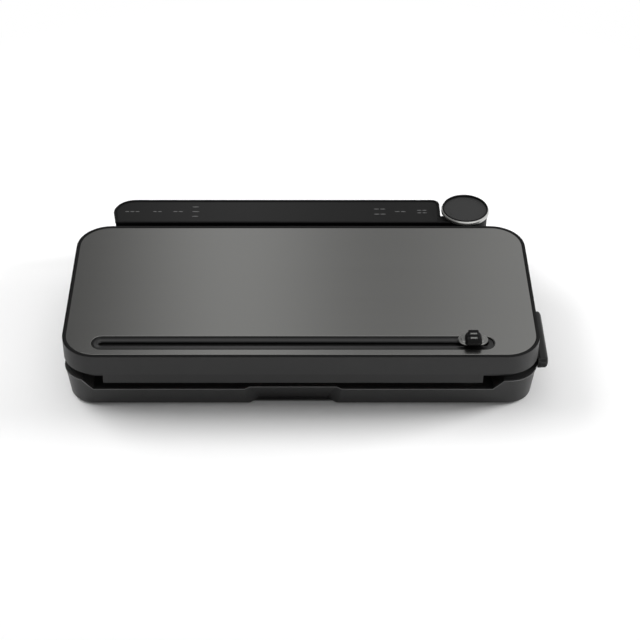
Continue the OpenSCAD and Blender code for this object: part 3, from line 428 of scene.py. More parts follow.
def make_material(name, effect, color, roughness, metallic=0.0, spread=0.1, tone=0.5, bump=0.00002,
                  centre=(0, 0, 0), settings=None, **sockets):
    """A Principled material whose colour, roughness and normal follow one of the shader groups."""
    material = bpy.data.materials.new(name)
    material.use_nodes = True
    tree = material.node_tree
    surface = tree.nodes["Principled BSDF"]
    surface.inputs["Metallic"].default_value = metallic
    for label, value in sockets.items():
        surface.inputs[label.replace("_", " ")].default_value = value
    pattern = tree.nodes.new("ShaderNodeGroup")
    pattern.node_tree = GROUPS[effect]
    pattern.inputs["Roughness"].default_value = roughness
    pattern.inputs["Spread"].default_value = spread
    for label, value in (settings or {}).items():
        pattern.inputs[label].default_value = value
    tree.links.new(object_coordinates(tree, centre), pattern.inputs["Vector"])
    tree.links.new(pattern.outputs["Roughness"], surface.inputs["Roughness"])
    swing = add_math(tree, "MULTIPLY", pattern.outputs["Tone"], tone)
    factor = add_math(tree, "ADD", swing, 0.5, clamp=True)
    dark = tuple(c * 0.4 for c in color) + (1,)
    pale = tuple(min(1.0, c * 1.6) for c in color) + (1,)
    tree.links.new(add_mix_color(tree, factor, dark, pale), surface.inputs["Base Color"])
    relief = tree.nodes.new("ShaderNodeBump")
    relief.inputs["Distance"].default_value = bump
    tree.links.new(pattern.outputs["Height"], relief.inputs["Height"])
    tree.links.new(relief.outputs["Normal"], surface.inputs["Normal"])
    return material


def plastic(name, grey, roughness=0.45, specular=0.15, tint=(1, 1, 1), **more):
    """A moulded plastic or silicone."""
    color = tuple(grey * t for t in tint)
    return make_material(name, "moulded", color, roughness, Specular_IOR_Level=specular, **more)


def metal(name, grey, roughness=0.3, effect="brushed", bump=0.000004, spread=0.2, tone=0.4, **more):
    """A bare metal, slightly warm."""
    return make_material(name, effect, (grey, grey, grey * 0.97), roughness, metallic=1.0, bump=bump,
                         spread=spread, tone=tone, **more)


MATERIALS = {
    "case_dark": plastic("case_dark", 0.036),
    "band_charcoal": plastic("band_charcoal", 0.037),
    "tub_charcoal": plastic("tub_charcoal", 0.022, 0.4, 0.35),
    "housing_black": plastic("housing_black", 0.004, 0.5, 0.08),
    # paler and glossier than the tub: a painted highlight along the base's lip
    "painted_lip_highlight": plastic("painted_lip_highlight", 0.055, 0.25, 0.7),
    # black trim, and the painted shade of screw recesses and vent slots
    "black_trim_and_painted_shade": plastic("black_trim_and_painted_shade", 0.006, 0.6, 0.08),
    "deck_dark": plastic("deck_dark", 0.017, 0.4, 0.3),
    "gloss_black": plastic("gloss_black", 0.01, 0.22, 0.08, settings={"Scale": 300.0}, tone=0.1,
                           bump=0.000002),
    "legend_grey": plastic("legend_grey", 0.1, 0.6),
    "brushed_lid": metal("brushed_lid", 0.185, 0.25, tone=0.15, spread=0.08,
                         settings={"Width": 3500.0, "Length": 6.0}),
    "cutter_steel": metal("cutter_steel", 0.16, 0.3, tone=0.2, settings={"Width": 3500.0}),
    "blade_steel": metal("blade_steel", 0.6, 0.2),
    "bright_ring": metal("bright_ring", 0.5, 0.34, "spun", bump=0.000001, centre=(CAP_X, CAP_Y, 0)),
    "cap_black": make_material("cap_black", "spun", (0.0105, 0.0105, 0.0105), 0.35, tone=0.8, spread=0.3,
                               bump=0.000006, centre=(CAP_X, CAP_Y, 0), Specular_IOR_Level=0.3),
    "grip_black": plastic("grip_black", 0.003, 0.2, 0.1, tone=0.1, bump=0.000004),
    # a grey metal on the ridges of the black grip: a painted highlight
    "ridge_painted_highlight": metal("ridge_painted_highlight", 0.14, 0.25),
    "track_black": plastic("track_black", 0.005, 0.3, 0.35),
    "lever_dark": plastic("lever_dark", 0.005, 0.3, 0.2),
    "button_grey": plastic("button_grey", 0.2, 0.4),
    "soft_rubber": make_material("soft_rubber", "moulded", (0.02, 0.02, 0.02), 0.8, settings={"Scale": 900.0},
                                 Specular_IOR_Level=0.2),
    "gasket_foam": make_material("gasket_foam", "foam", (0.02, 0.02, 0.02), 0.9, bump=0.0002, tone=0.8,
                                 Specular_IOR_Level=0.2),
    "strip_silicone": plastic("strip_silicone", 0.35, 0.55, 0.4, (1, 0.17, 0.11)),
    "seal_cloth": make_material("seal_cloth", "weave", (0.25, 0.12, 0.05), 0.45, bump=0.00006, tone=0.6),
    "bar_aluminium": metal("bar_aluminium", 0.6, 0.35),
    "tray_grey": plastic("tray_grey", 0.12, 0.4, 0.4),
    "zinc_steel": metal("zinc_steel", 0.5, 0.35),
    "frame_steel": metal("frame_steel", 0.45, 0.4),
    "motor_steel": metal("motor_steel", 0.5, 0.3),
    "pump_plastic": plastic("pump_plastic", 0.17, 0.5, 0.4, (0.9, 1, 1.15)),
    "bearing_plastic": plastic("bearing_plastic", 0.7, 0.45, 0.4, (1, 1, 0.97)),
    "tube_silicone": plastic("tube_silicone", 0.5, 0.4, 0.4),
    "circuit_green": plastic("circuit_green", 0.12, 0.35, 0.4, (0.17, 1, 0.33)),
    "winding_yellow": plastic("winding_yellow", 0.5, 0.5, 0.4, (1, 0.7, 0.1)),
    "light_pipe": plastic("light_pipe", 0.6, 0.2, 0.5, (0.85, 1, 1.15)),
    "inlet_black": plastic("inlet_black", 0.015, 0.4, 0.3),
}

# ---------------------------------------------------------------- helpers for pieces

SLOTS = {row["node"]: row["material_slot"] for row in frame["record"]["subparts"]}
BODY_OF = {node: body for body, nodes in frame["record"]["behaviour"]["bodies"].items() for node in nodes}


def new_piece(name, mesh):
    piece = bpy.data.objects.new(name, mesh)
    bpy.context.scene.collection.objects.link(piece)
    return piece


def mesh_from(shape, name):
    """A mesh from a bmesh, with its doubles merged and its faces turned outwards."""
    bmesh.ops.remove_doubles(shape, verts=shape.verts, dist=1e-7)
    bmesh.ops.recalc_face_normals(shape, faces=shape.faces)
    mesh = bpy.data.meshes.new(name)
    shape.to_mesh(mesh)
    shape.free()
    return mesh


def baked(piece):
    """The same object with its modifiers applied."""
    graph = bpy.context.evaluated_depsgraph_get()
    mesh = bpy.data.meshes.new_from_object(piece.evaluated_get(graph))
    piece.modifiers.clear()
    piece.data = mesh
    return piece


def smooth_by_angle(piece, degrees=40):
    """Smooth shading with sharp edges kept, and large flat faces left looking flat."""
    piece.data.shade_smooth()
    piece.data.set_sharp_from_angle(angle=math.radians(degrees))
    weights = piece.modifiers.new("weights", "WEIGHTED_NORMAL")
    weights.keep_sharp = True
    baked(piece)


def finish_piece(piece, body, slot, *nodes, material=None):
    """Gives a piece its material and its body, and hides the CAD nodes that it stands for."""
    piece.data.materials.clear()
    piece.data.materials.append(MATERIALS[material or slot])
    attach(piece, body)
    if nodes:
        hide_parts(*nodes)
    return piece


def merged_shape(node, whole_faces=False):
    """A bmesh of the node's shape with its doubles merged, and its flat faces made whole if asked."""
    shape = bmesh.new()
    shape.from_mesh(NODES[node].data)
    bmesh.ops.remove_doubles(shape, verts=shape.verts, dist=1e-6)
    if whole_faces:
        bmesh.ops.dissolve_limit(shape, angle_limit=math.radians(0.6), verts=shape.verts, edges=shape.edges)
    return shape


def dressed_copy(node, bevel, material=None, segments=3, angle=30):
    """The node's own shape with its edges rounded and its curved faces smooth."""
    mesh = NODES[node].data.copy()
    mesh.name = node + "_dressed"
    shape = merged_shape(node, whole_faces=True)
    shape.to_mesh(mesh)
    shape.free()
    piece = new_piece(node + "_dressed", mesh)
    rounding = piece.modifiers.new("edges", "BEVEL")
    rounding.width = bevel * MM
    rounding.segments = segments
    rounding.limit_method = "ANGLE"
    rounding.angle_limit = math.radians(angle)
    baked(piece)
    smooth_by_angle(piece)
    return finish_piece(piece, BODY_OF[node], SLOTS[node], node, material=material)


def islands(node):
    """The lowest and highest corner of each separate solid in a node, from left to right."""
    shape = merged_shape(node)
    left = set(shape.verts)
    corners = []
    while left:
        reached = [left.pop()]
        found = list(reached)
        while reached:
            vert = reached.pop()
            for edge in vert.link_edges:
                other = edge.other_vert(vert)
                if other in left:
                    left.discard(other)
                    reached.append(other)
                    found.append(other)
        corners.append((Vector([min(v.co[i] for v in found) for i in range(3)]),
                        Vector([max(v.co[i] for v in found) for i in range(3)])))
    shape.free()
    return sorted(corners, key=lambda pair: (round(pair[0].x, 4), round(pair[0].y, 4)))


def round_loop(half_x, half_y, corner, z, steps=6):
    """The points of a rounded rectangle at one height."""
    corner = min(corner, half_x, half_y)
    points = []
    for quarter, (sx, sy) in enumerate(((1, 1), (-1, 1), (-1, -1), (1, -1))):
        for step in range(steps + 1):
            turn = math.pi / 2 * (quarter + step / steps)
            points.append(((half_x - corner) * sx + corner * math.cos(turn),
                           (half_y - corner) * sy + corner * math.sin(turn), z))
    return points


def stacked(loops, closed=False):
    """A bmesh through loops of equally many points: capped at its ends, or closed into a ring."""
    shape = bmesh.new()
    rows = [[shape.verts.new(Vector(p) * MM) for p in loop] for loop in loops]
    pairs = list(zip(rows, rows[1:])) + ([(rows[-1], rows[0])] if closed else [])
    for low, high in pairs:
        for i in range(len(low)):
            j = (i + 1) % len(low)
            shape.faces.new((low[i], low[j], high[j], high[i]))
    if not closed:
        shape.faces.new(list(reversed(rows[0])))
        shape.faces.new(rows[-1])
    return shape


def joined(shapes, name):
    """One mesh from several bmeshes, each merged on its own."""
    whole = bmesh.new()
    for shape in shapes:
        part = mesh_from(shape, name)
        whole.from_mesh(part)
        bpy.data.meshes.remove(part)
    mesh = bpy.data.meshes.new(name)
    whole.to_mesh(mesh)
    whole.free()
    return mesh


def built(name, shapes, body, slot, *nodes, place=Matrix.Identity(4), material=None, degrees=40):
    """One piece from several bmeshes, in millimetres about the place that it is put."""
    mesh = joined(shapes, name)
    mesh.transform(place)
    piece = new_piece(name, mesh)
    smooth_by_angle(piece, degrees)
    return finish_piece(piece, body, slot, *nodes, material=material)


def turned(profile, closed=False, segments=96):
    """A bmesh turned round the Z axis from (radius, height) points: a ring if closed."""
    shape = bmesh.new()
    verts = [shape.verts.new((r * MM, 0, z * MM)) for r, z in profile]
    pairs = list(zip(verts, verts[1:])) + ([(verts[-1], verts[0])] if closed else [])
    edges = [shape.edges.new(pair) for pair in pairs]
    bmesh.ops.spin(shape, geom=verts + edges, cent=(0, 0, 0), axis=(0, 0, 1), angle=2 * math.pi,
                   steps=segments, use_merge=True)
    return shape


# ---------------------------------------------------------------- geometry node trees

def new_tree(name, inputs):
    """A Geometry Nodes tree with named inputs {name: (socket type, default)}."""
    tree = bpy.data.node_groups.new(name, "GeometryNodeTree")
    tree.interface.new_socket(name="Geometry", in_out="INPUT", socket_type="NodeSocketGeometry")
    for label, (kind, value) in inputs.items():
        socket = tree.interface.new_socket(name=label, in_out="INPUT", socket_type=kind)
        if value is not None:
            socket.default_value = value
    tree.interface.new_socket(name="Geometry", in_out="OUTPUT", socket_type="NodeSocketGeometry")
    return tree, tree.nodes.new("NodeGroupInput"), tree.nodes.new("NodeGroupOutput")


def end_tree(tree, start, end, geometry):
    """Realize Instances and Set Material, as every tree here ends."""
    solid = tree.nodes.new("GeometryNodeRealizeInstances")
    paint = tree.nodes.new("GeometryNodeSetMaterial")
    tree.links.new(geometry, solid.inputs["Geometry"])
    tree.links.new(solid.outputs["Geometry"], paint.inputs["Geometry"])
    tree.links.new(start.outputs["Material"], paint.inputs["Material"])
    tree.links.new(paint.outputs["Geometry"], end.inputs["Geometry"])
    return tree


def make_copies_tree():
    """A copy of Pattern at each point of the mesh."""
    tree, start, end = new_tree("copies_at_points", {
        "Pattern": ("NodeSocketObject", None), "Material": ("NodeSocketMaterial", None)})
    source = tree.nodes.new("GeometryNodeObjectInfo")
    tree.links.new(start.outputs["Pattern"], source.inputs["Object"])
    place = tree.nodes.new("GeometryNodeInstanceOnPoints")
    tree.links.new(start.outputs["Geometry"], place.inputs["Points"])
    tree.links.new(source.outputs["Geometry"], place.inputs["Instance"])
    return end_tree(tree, start, end, place.outputs["Instances"])


def make_row_tree():
    """Count round-edged bars of one Size in a straight row, Step apart."""
    tree, start, end = new_tree("row_of_bars", {
        "First": ("NodeSocketVector", (0, 0, 0)), "Step": ("NodeSocketVector", (0.001, 0, 0)),
        "Count": ("NodeSocketInt", 4), "Size": ("NodeSocketVector", (0.001, 0.001, 0.001)),
        "Material": ("NodeSocketMaterial", None)})
    line = tree.nodes.new("GeometryNodeMeshLine")
    line.mode = "OFFSET"
    tree.links.new(start.outputs["Count"], line.inputs["Count"])
    tree.links.new(start.outputs["First"], line.inputs["Start Location"])
    tree.links.new(start.outputs["Step"], line.inputs["Offset"])
    bar = tree.nodes.new("GeometryNodeMeshCylinder")
    bar.inputs["Vertices"].default_value = 12
    bar.inputs["Radius"].default_value = 0.5
    bar.inputs["Depth"].default_value = 1
    place = tree.nodes.new("GeometryNodeInstanceOnPoints")
    tree.links.new(line.outputs["Mesh"], place.inputs["Points"])
    tree.links.new(bar.outputs["Mesh"], place.inputs["Instance"])
    tree.links.new(start.outputs["Size"], place.inputs["Scale"])
    return end_tree(tree, start, end, place.outputs["Instances"])


def make_loop_tree():
    """A domed strip of one Width and Height swept round a rounded rectangle."""
    tree, start, end = new_tree("domed_loop", {
        "Length": ("NodeSocketFloat", 0.1), "Depth": ("NodeSocketFloat", 0.05),
        "Corner": ("NodeSocketFloat", 0.01), "Width": ("NodeSocketFloat", 0.005),
        "Height": ("NodeSocketFloat", 0.004), "Place": ("NodeSocketVector", (0, 0, 0)),
        "Material": ("NodeSocketMaterial", None)})
    path = tree.nodes.new("GeometryNodeCurvePrimitiveQuadrilateral")
    tree.links.new(start.outputs["Length"], path.inputs["Width"])
    tree.links.new(start.outputs["Depth"], path.inputs["Height"])
    corners = tree.nodes.new("GeometryNodeFilletCurve")
    corners.mode = "POLY"
    corners.inputs["Count"].default_value = 10
    tree.links.new(path.outputs["Curve"], corners.inputs["Curve"])
    tree.links.new(start.outputs["Corner"], corners.inputs["Radius"])
    section = tree.nodes.new("GeometryNodeCurvePrimitiveCircle")
    section.inputs["Resolution"].default_value = 16
    section.inputs["Radius"].default_value = 0.5
    size = tree.nodes.new("ShaderNodeCombineXYZ")
    tree.links.new(start.outputs["Width"], size.inputs["X"])
    tree.links.new(start.outputs["Height"], size.inputs["Y"])
    size.inputs["Z"].default_value = 1
    flat = tree.nodes.new("GeometryNodeTransform")
    tree.links.new(section.outputs["Curve"], flat.inputs["Geometry"])
    tree.links.new(size.outputs[0], flat.inputs["Scale"])
    sweep = tree.nodes.new("GeometryNodeCurveToMesh")
    tree.links.new(corners.outputs["Curve"], sweep.inputs["Curve"])
    tree.links.new(flat.outputs["Geometry"], sweep.inputs["Profile Curve"])
    move = tree.nodes.new("GeometryNodeTransform")
    tree.links.new(sweep.outputs["Mesh"], move.inputs["Geometry"])
    tree.links.new(start.outputs["Place"], move.inputs["Translation"])
    return end_tree(tree, start, end, move.outputs["Geometry"])


def make_bead_tree():
    """A round bead of one Radius along the edges of the mesh."""
    tree, start, end = new_tree("bead_on_edges", {
        "Radius": ("NodeSocketFloat", 0.0005), "Material": ("NodeSocketMaterial", None)})
    path = tree.nodes.new("GeometryNodeMeshToCurve")
    tree.links.new(start.outputs["Geometry"], path.inputs["Mesh"])
    section = tree.nodes.new("GeometryNodeCurvePrimitiveCircle")
    section.inputs["Resolution"].default_value = 10
    tree.links.new(start.outputs["Radius"], section.inputs["Radius"])
    sweep = tree.nodes.new("GeometryNodeCurveToMesh")
    sweep.inputs["Fill Caps"].default_value = True
    tree.links.new(path.outputs["Curve"], sweep.inputs["Curve"])
    tree.links.new(section.outputs["Curve"], sweep.inputs["Profile Curve"])
    return end_tree(tree, start, end, sweep.outputs["Mesh"])


TREES = {"copies": make_copies_tree(), "row": make_row_tree(), "loop": make_loop_tree(),
         "bead": make_bead_tree()}


def grown(name, kind, body, slot, *nodes, points=(), edges=(), material=None, bevel=0.0, **values):
    """A piece grown by one of the trees, turned into a plain mesh."""
    mesh = bpy.data.meshes.new(name)
    mesh.from_pydata([tuple(p) for p in points] or [(0, 0, 0)], list(edges), [])
    piece = new_piece(name, mesh)
    modifier = piece.modifiers.new("grow", "NODES")
    modifier.node_group = TREES[kind]
    values["Material"] = MATERIALS[material or slot]
    for item in TREES[kind].interface.items_tree:
        if item.in_out == "INPUT" and item.name in values:
            modifier[item.identifier] = values[item.name]
    if bevel:
        rounding = piece.modifiers.new("edges", "BEVEL")
        rounding.width = bevel * MM
        rounding.segments = 2
        rounding.angle_limit = math.radians(40)
    baked(piece)
    smooth_by_angle(piece)
    return finish_piece(piece, body, slot, *nodes, material=material)


def copies(name, pattern_mesh, points, body, slot, *nodes, material=None):
    """The same small part at several places, in one piece."""
    pattern = new_piece("pattern", pattern_mesh)
    piece = grown(name, "copies", body, slot, *nodes, points=points, material=material, Pattern=pattern)
    bpy.data.objects.remove(pattern)
    return piece


# ---------------------------------------------------------------- pieces that keep a CAD shape

for node, piece in NODES.items():
    piece.data.materials.clear()
    piece.data.materials.append(MATERIALS[SLOTS[node]])

EDGES = {  # how far each node's edges are rounded, in millimetres, and its finish if that isn't its slot's
    "lid_cover": (0.4, "band_charcoal"), "lid_panel": (0.4, None), "lid_inner": (0.5, "deck_dark"),
    "base_tub": (1.1, "tub_charcoal"), "base_deck": (0.5, None), "rear_housing": (1.0, "housing_black"),
    "control_overlay": (0.2, None), "cutter_carriage": (0.3, "grip_black"),
    "head_barrel": (0.3, "tub_charcoal"), "head_cap": (0.3, None), "head_button": (0.4, None),
    "head_nozzle": (0.4, None), "nozzle_seal": (0.5, None), "drip_tray": (0.5, None), "seal_bar": (0.4, None),
    "latch_hooks": (0.4, None), "lid_catches": (0.3, None), "hinge_brackets": (0.4, None),
    "shaft_bearings": (0.4, None), "lid_switch": (0.3, None), "power_inlet": (0.4, None),
    "pump_frame": (0.4, None), "pump_head": (0.4, None), "release_valve": (0.4, None),
    "case_screws": (0.3, None), "lid_screws": (0.3, None), "pump_motor": (0.4, None),
    "valve_plunger": (0.3, None),
}
for node, (rounding, finish) in EDGES.items():
    dressed_copy(node, rounding, finish)


# ---------------------------------------------------------------- lid rim strip, cutter and lever

def add_rim_dark_strip():
    """A dark domed strip laid on the lid's rim, between the steel and the band, all round the lid."""
    rim_w = 2.9 * MM
    corner = 29 * MM
    size = LID_HIGH - LID_LOW
    grown("lid_rim_trim", "loop", "lid", "inlet_black", material="black_trim_and_painted_shade", Length=size.x - rim_w,
          Depth=size.y - rim_w, Corner=corner - rim_w / 2, Width=rim_w, Height=0.6 * MM,
          Place=(LID_X, LID_Y, LID_TOP - 0.05 * MM))


def add_cutter_track():
    """The dished track: a fine groove and a wide rounded shoulder at its rim, then a drop to the blade slot."""
    low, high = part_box("cutter_track")
    size = (high - low) / MM
    span = size.x - size.y
    section = [(8.35, 0), (8.35, -0.8), (7.6, -0.8), (7.6, -10), (5.5, -10), (5.5, -6), (1.7, -6), (1.7, -5.2),
               (2.1, -4.9), (2.25, -4), (2.35, -3), (2.55, -2.3), (2.9, -1.8), (3.4, -1.45), (4.1, -1.2),
               (5, -1), (5.9, -0.86), (6.5, -0.8), (6.9, -0.84), (7.2, -1), (7.4, -1.05), (7.6, -0.9),
               (7.75, -0.3), (7.85, 0)]
    slot_r, shoulder_r, slot_back = 2.9, 5.0, 0.8
    loops = []
    for r, z in section:
        back = slot_back * min(max((shoulder_r - r) / (shoulder_r - slot_r), 0), 1)
        loops.append([(x, y + back, z) for x, y, z in round_loop(span / 2 + r, r, r, z, 10)])
    place = Matrix.Translation(((low.x + high.x) / 2, (low.y + high.y) / 2, high.z))
    built("cutter_track_dished", [stacked(loops, closed=True)], "lid", "track_black", "cutter_track",
          place=place)


CUTTER_RISE, CUTTER_BACK = 1.4, 0.8


def cutter_place(node):
    """The middle of the cutter's top, in line with its slot."""
    low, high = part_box(node)
    middle = (low + high) / 2
    return Matrix.Translation((middle.x, middle.y + CUTTER_BACK * MM, low.z + CUTTER_RISE * MM))


def add_cutter_plate():
    """The oval cap of the cutter: a rolled rim, a fine step and a low dome, on a narrow black neck."""
    low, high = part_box("cutter_plate")
    size = (high - low) / MM
    half_w, half_l, rise = size.y / 2 - 0.9, size.x / 2, size.z
    section = [(-0.5, 0), (0, 0.4), (0, 0.95), (-0.12, 1.2), (-0.4, 1.42), (-0.9, 1.56), (-1.9, 1.66),
               (-2.1, 1.6), (-2.3, 1.66), (-2.6, 1.9), (-3.1, 2.1), (-3.9, 2.22), (-5, rise)]
    loops = [round_loop(half_l + d, half_w + d, half_w + d, z, 10) for d, z in section]
    place = cutter_place("cutter_plate")
    built("cutter_plate_domed", [stacked(loops)], "cutter", "cutter_steel", "cutter_plate", place=place,
          degrees=50)
    neck = [round_loop(half_l - 3, half_w - 3, 3, z) for z in (-CUTTER_RISE, 0.2)]
    built("cutter_neck", [stacked(neck)], "cutter", "grip_black", place=place)


def add_cutter_grip():
    """The cutter's grip: a rounded body that hangs over the plate's front, with two ridges across its top. The
    ridges are a grey metal, so that they shine as a painted highlight on the black grip.
    """
    body = [(6.9, 6, -0.4, -3), (7, 6.1, -0.1, -3), (7, 6.1, 0.8, -3), (6.95, 5.9, 1.8, -2.7),
            (6.8, 5.5, 2.8, -2.2), (6.4, 5, 3.8, -1.7), (5.7, 4.3, 4.7, -1.1), (4.9, 3.7, 5.3, -0.6)]
    body_loops = [[(px, py + y, z) for px, py, z in round_loop(x, half, 3.2, z, 6)] for x, half, z, y in body]
    slab = [(3.4, 4), (3.2, 6.2), (2.6, 6.9), (1.6, 7.2), (-2.9, 6.3), (-3.7, 5.6), (-4.2, 4)]
    slab_loops = [[(x, y * s, 4 + (z - 4) * s) for y, z in slab]
                  for x, s in ((-4.2, 0.85), (-4, 0.95), (-3.7, 1), (3.7, 1), (4, 0.95), (4.2, 0.85))]
    place = cutter_place("cutter_grip")
    built("cutter_grip_rounded", [stacked(body_loops), stacked(slab_loops)], "cutter", "grip_black",
          "cutter_grip", place=place, degrees=60)
    ridges = []
    for y, z in ((-1.6, 6.5), (-5, 5)):
        arch = [(0.9, -0.6), (0.85, 0.1), (0.5, 0.42), (0, 0.5), (-0.5, 0.35), (-0.85, -0.05), (-0.9, -0.6)]
        ridges.append(stacked([[(x, y + dy, z + dz) for dy, dz in arch] for x in (-2.7, 2.7)]))
    # the ridges' grey metal is a painted highlight on the black grip
    built("cutter_grip_ridges", ridges, "cutter", "grip_black", place=place, material="ridge_painted_highlight", degrees=60)


def outer_edges(node, keep):
    """The points and pairs of the sharp outer edges round the top of a node, where keep(middle) holds."""
    shape = merged_shape(node, whole_faces=True)
    low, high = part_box(node)
    least_up, most_lean = 0.6, 0.55
    points, pairs = [], []
    for edge in shape.edges:
        middle = (edge.verts[0].co + edge.verts[1].co) / 2
        outward = middle - (low + high) / 2
        outward.z = 0
        side, top = sorted((face.normal for face in edge.link_faces), key=lambda normal: normal.z)
        if keep(middle) and top.z > least_up and abs(side.z) < most_lean and side.dot(outward) > 0:
            ends = []
            for vert in edge.verts:
                near = [i for i, point in enumerate(points) if (point - vert.co).length < 1e-5]
                ends.append(near[0] if near else len(points))
                if not near:
                    points.append(vert.co.copy())
            pairs.append(tuple(ends))
    shape.free()
    return points, pairs


def add_edge_beads():
    """The rounded outer edges along the top of the base's front and round the top of the rear housing. The
    base's bead is paler and glossier than the tub, a painted highlight along the lip.
    """
    points, pairs = outer_edges("base_tub", lambda middle: middle.y < -0.06 or abs(middle.x - LID_X) > 0.19)
    sunk = Vector((0, 0, -0.3 * MM))
    grown("base_lip_bead", "bead", "base", "case_dark", points=[p + sunk for p in points], edges=pairs,
          material="painted_lip_highlight", Radius=0.5 * MM)
    points, pairs = outer_edges("rear_housing", lambda middle: middle.z > HOUSING_HIGH.z - 0.6 * MM)
    grown("housing_edge_bead", "bead", "base", "case_dark", points=points, edges=pairs, material="black_trim_and_painted_shade",
          Radius=0.9 * MM)


def add_finger_sill():
    """The low step at the bottom of the finger recess."""
    outline = [(-38.5, -100.2), (-43.4, -103.7), (22.1, -103.7), (17.2, -100.2)]
    middle_x, middle_y = -10.65, -101.9
    loops = [[(middle_x + (x - middle_x) * s, middle_y + (y - middle_y) * s, z) for x, y in outline]
             for z, s in ((1, 1), (2.2, 1), (2.5, 0.99))]
    built("finger_sill", [stacked(loops)], "base", "case_dark", material="tub_charcoal")


def add_cap():
    """The docked head's top: a black rim round a sunk disc, and a bright turned ring outside it."""
    low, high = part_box("cap_ring")
    radius, top, sink = CAP_R / MM + 0.5, (high.z - low.z) / MM, 1.3
    ring = [(radius - 2, 0), (radius, 0), (radius, top - 1.9), (radius - 0.1, top - 1.7),
            (radius - 0.8, top - 0.7), (radius - 1, top - 0.6), (radius - 2, top - 0.6)]
    rim = [(radius - 0.85, 0.5), (radius - 0.85, top - 0.4), (radius - 1, top), (radius - 1.5, top + 0.2),
           (radius - 2, top), (radius - 2.3, top - 0.3), (radius - 2.3, top - sink - 0.3)]
    disc_r = radius - 2.3
    disc = [(0, top - 3), (disc_r, top - 3), (disc_r, top - sink - 0.1), (disc_r - 0.1, top - sink),
            (disc_r - 3.0, top - sink), (disc_r - 3.2, top - sink - 0.12), (disc_r - 3.4, top - sink),
            (0, top - sink)]
    place = Matrix.Translation((CAP_X - 0.2 * MM, CAP_Y + 0.2 * MM, low.z))
    built("cap_ring_turned", [turned(ring, closed=True)], "hand_head", "bright_ring", "cap_ring", place=place)
    built("cap_rim", [turned(rim, closed=True)], "hand_head", "cap_black", place=place, material="black_trim_and_painted_shade",
          degrees=60)
    built("cap_disc_sunk", [turned(disc)], "hand_head", "cap_black", "cap_disc", place=place, degrees=20)


def add_side_lever():
    """The lever at the right: a bar with full round edges and a flat pad that reaches in under the lid."""
    low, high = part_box("latch_lever")
    size = (high - low) / MM
    thick = 7.6
    half_l, half_h = size.y / 2, size.z / 2
    end_run, edge_run, inner_run, steps = 5.5, 3.0, 0.8, 6
    loops = []
    for step in range(4):
        turn = math.pi / 2 * step / 3
        inset = inner_run * (1 - math.sin(turn))
        loops.append(round_loop(half_l - inset, half_h - inset, half_h, inner_run * (1 - math.cos(turn)), 8))
    for step in range(steps + 1):
        turn = math.pi / 2 * step / steps
        drawn_in = 1 - math.cos(turn)
        loops.append(round_loop(half_l - end_run * drawn_in, half_h - edge_run * drawn_in, half_h,
                                thick - edge_run + edge_run * math.sin(turn), 8))
    pad_l, pad_drop, pad_shift = 22.9, 0.4, 10.4
    pad = [round_loop(pad_l - d, half_h - pad_drop - d, 3, z, 8)
           for d, z in ((0.4, thick - size.x), (0, thick - size.x + 0.4), (0, 1.5))]
    for loop in pad:
        loop[:] = [(x - pad_shift, y, z) for x, y, z in loop]
    on_its_side = Matrix(((0, 0, 1, 0), (1, 0, 0, 0), (0, 1, 0, 0), (0, 0, 0, 1)))
    middle = Vector((high.x - thick * MM, (low.y + high.y) / 2, (low.z + high.z) / 2))
    place = Matrix.Translation(middle) @ on_its_side
    built("latch_lever_rounded", [stacked(loops), stacked(pad)], "latch", "lever_dark", "latch_lever",
          place=place, degrees=50)


add_rim_dark_strip()
add_cutter_track()
add_cutter_plate()
add_cutter_grip()
add_cap()
add_edge_beads()
add_finger_sill()
add_side_lever()


# ---------------------------------------------------------------- control strip

def add_legends():
    """Small grey marks on the touch strip, where its zones are: plain dashes and no lettering."""
    top = OVERLAY_HIGH.z
    middle = (OVERLAY_LOW.y + OVERLAY_HIGH.y) / 2
    left, right = OVERLAY_LOW.x, OVERLAY_HIGH.x
    marks = [(left + 7.3 * MM, 0, 3, 3.9), (left + 32.7 * MM, 0, 2, 3.6), (left + 50.9 * MM, 0, 2, 4.1),
             (left + 68.1 * MM, 7.2, 1, 6.2), (left + 68.1 * MM, 0, 1, 6.8), (left + 68.1 * MM, -7.2, 1, 6.2),
             (right - 57.1 * MM, 3.9, 2, 4.9), (right - 57.1 * MM, -3.9, 2, 4.9),
             (right - 38.1 * MM, 0, 2, 4.5), (right - 18.1 * MM, 1.9, 2, 4.1),
             (right - 18.1 * MM, -1.9, 2, 4.1)]
    for number, (x, dy, count, width) in enumerate(marks):
        step = (width + 0.8) * MM
        grown("legend_%02d" % number, "row", "base", "light_pipe", material="legend_grey",
              First=(x + width * MM / 2, middle + dy * MM, top), Step=(step, 0, 0), Count=count,
              Size=(width * MM, 1.1 * MM, 0.06 * MM))


add_legends()


# ---------------------------------------------------------------- inside, back and underside

def middles(node, z):
    """The middle of each separate solid of a node, at one height."""
    return [Vector(((low.x + high.x) / 2, (low.y + high.y) / 2, z)) for low, high in islands(node)]


def add_gaskets():
    """The two foam loops that meet round the vacuum channel."""
    width, corner = 5 * MM, 7 * MM
    for node, body in (("lower_gasket", "base"), ("upper_gasket", "lid")):
        low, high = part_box(node)
        size = high - low
        grown(node + "_domed", "loop", body, "soft_rubber", node, material="gasket_foam", Length=size.x - width,
              Depth=size.y - width, Corner=corner - width / 2, Width=width, Height=size.z,
              Place=tuple((low + high) / 2))


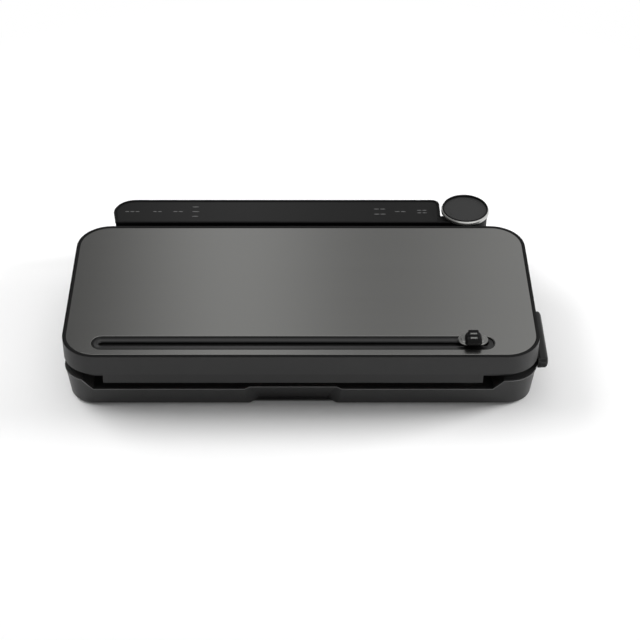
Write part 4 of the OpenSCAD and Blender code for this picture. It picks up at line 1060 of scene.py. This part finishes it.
def add_pressure_strip():
    """The silicone strip that presses the bag on the seal bar, with three ribs along it."""
    low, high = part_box("pressure_strip")
    half = [(0, 0), (1, 0.1), (1.6, 0.9), (2.2, 0.9), (2.6, 0.5), (3.6, 0.5), (4, 1), (4, 3.4)]
    section = half + [(-y, z) for y, z in reversed(half[1:])]
    length = (high.x - low.x) / MM
    loops = [[(x, y, z) for y, z in section] for x in (-length / 2, length / 2)]
    place = Matrix.Translation(((low.x + high.x) / 2, (low.y + high.y) / 2, low.z))
    built("pressure_strip_ribbed", [stacked(loops)], "lid", "strip_silicone", "pressure_strip", place=place)


def add_feet():
    """Rubber feet with two grooves under each."""
    foot = mesh_from(turned([(0, 0.5), (3.2, 0.5), (3.4, 0.1), (3.7, 0), (4.6, 0), (4.9, 0.1), (5.1, 0.5),
                             (5.7, 0.5), (5.9, 0.1), (6.2, 0), (7.2, 0), (7.8, 0.2), (8.05, 0.6), (8.05, 2),
                             (0, 2)], segments=40), "foot")
    copies("rubber_feet_grooved", foot, middles("rubber_feet", 0), "base", "soft_rubber", "rubber_feet")


def add_screw_crosses():
    """A black cross set in the head of each screw: painted shade in place of its cross recess."""
    for node, body in (("case_screws", "base"), ("lid_screws", "lid")):
        bars = [stacked([round_loop(x, y, 0.3, z, 2) for z in (-0.04, 0.3)])
                for x, y in ((1.7, 0.38), (0.38, 1.7))]
        copies(node + "_crosses", joined(bars, "cross"), middles(node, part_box(node)[0].z), body, "zinc_steel",
               material="black_trim_and_painted_shade")


def add_back_vents():
    """A row of black bars on the back wall, behind the pump: painted shade in place of vent slots."""
    back = HOUSING_HIGH.y
    grown("back_vents", "row", "base", "case_dark", material="black_trim_and_painted_shade", First=(-104 * MM, back, 27 * MM),
          Step=(4.2 * MM, 0, 0), Count=15, Size=(1.7 * MM, 0.3 * MM, 15 * MM))


def add_barrel_ridges():
    """Shallow grip ridges round the hand-held head's barrel."""
    low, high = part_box("head_barrel")
    radius = (high.x - low.x) / 2 / MM
    profile = [(radius - 0.4, 13.6)]
    for number in range(6):
        z = 14 + 2.2 * number
        profile += [(radius + 0.02, z), (radius + 0.18, z + 0.4), (radius + 0.18, z + 1.1),
                    (radius + 0.02, z + 1.5)]
    profile.append((radius - 0.4, profile[-1][1] + 0.4))
    place = Matrix.Translation(((low.x + high.x) / 2, (low.y + high.y) / 2, 0))
    built("barrel_ridges", [turned(profile, closed=True)], "hand_head", "case_dark", place=place,
          material="tub_charcoal", degrees=25)


add_gaskets()
add_pressure_strip()
add_feet()
add_screw_crosses()
add_back_vents()
add_barrel_ridges()
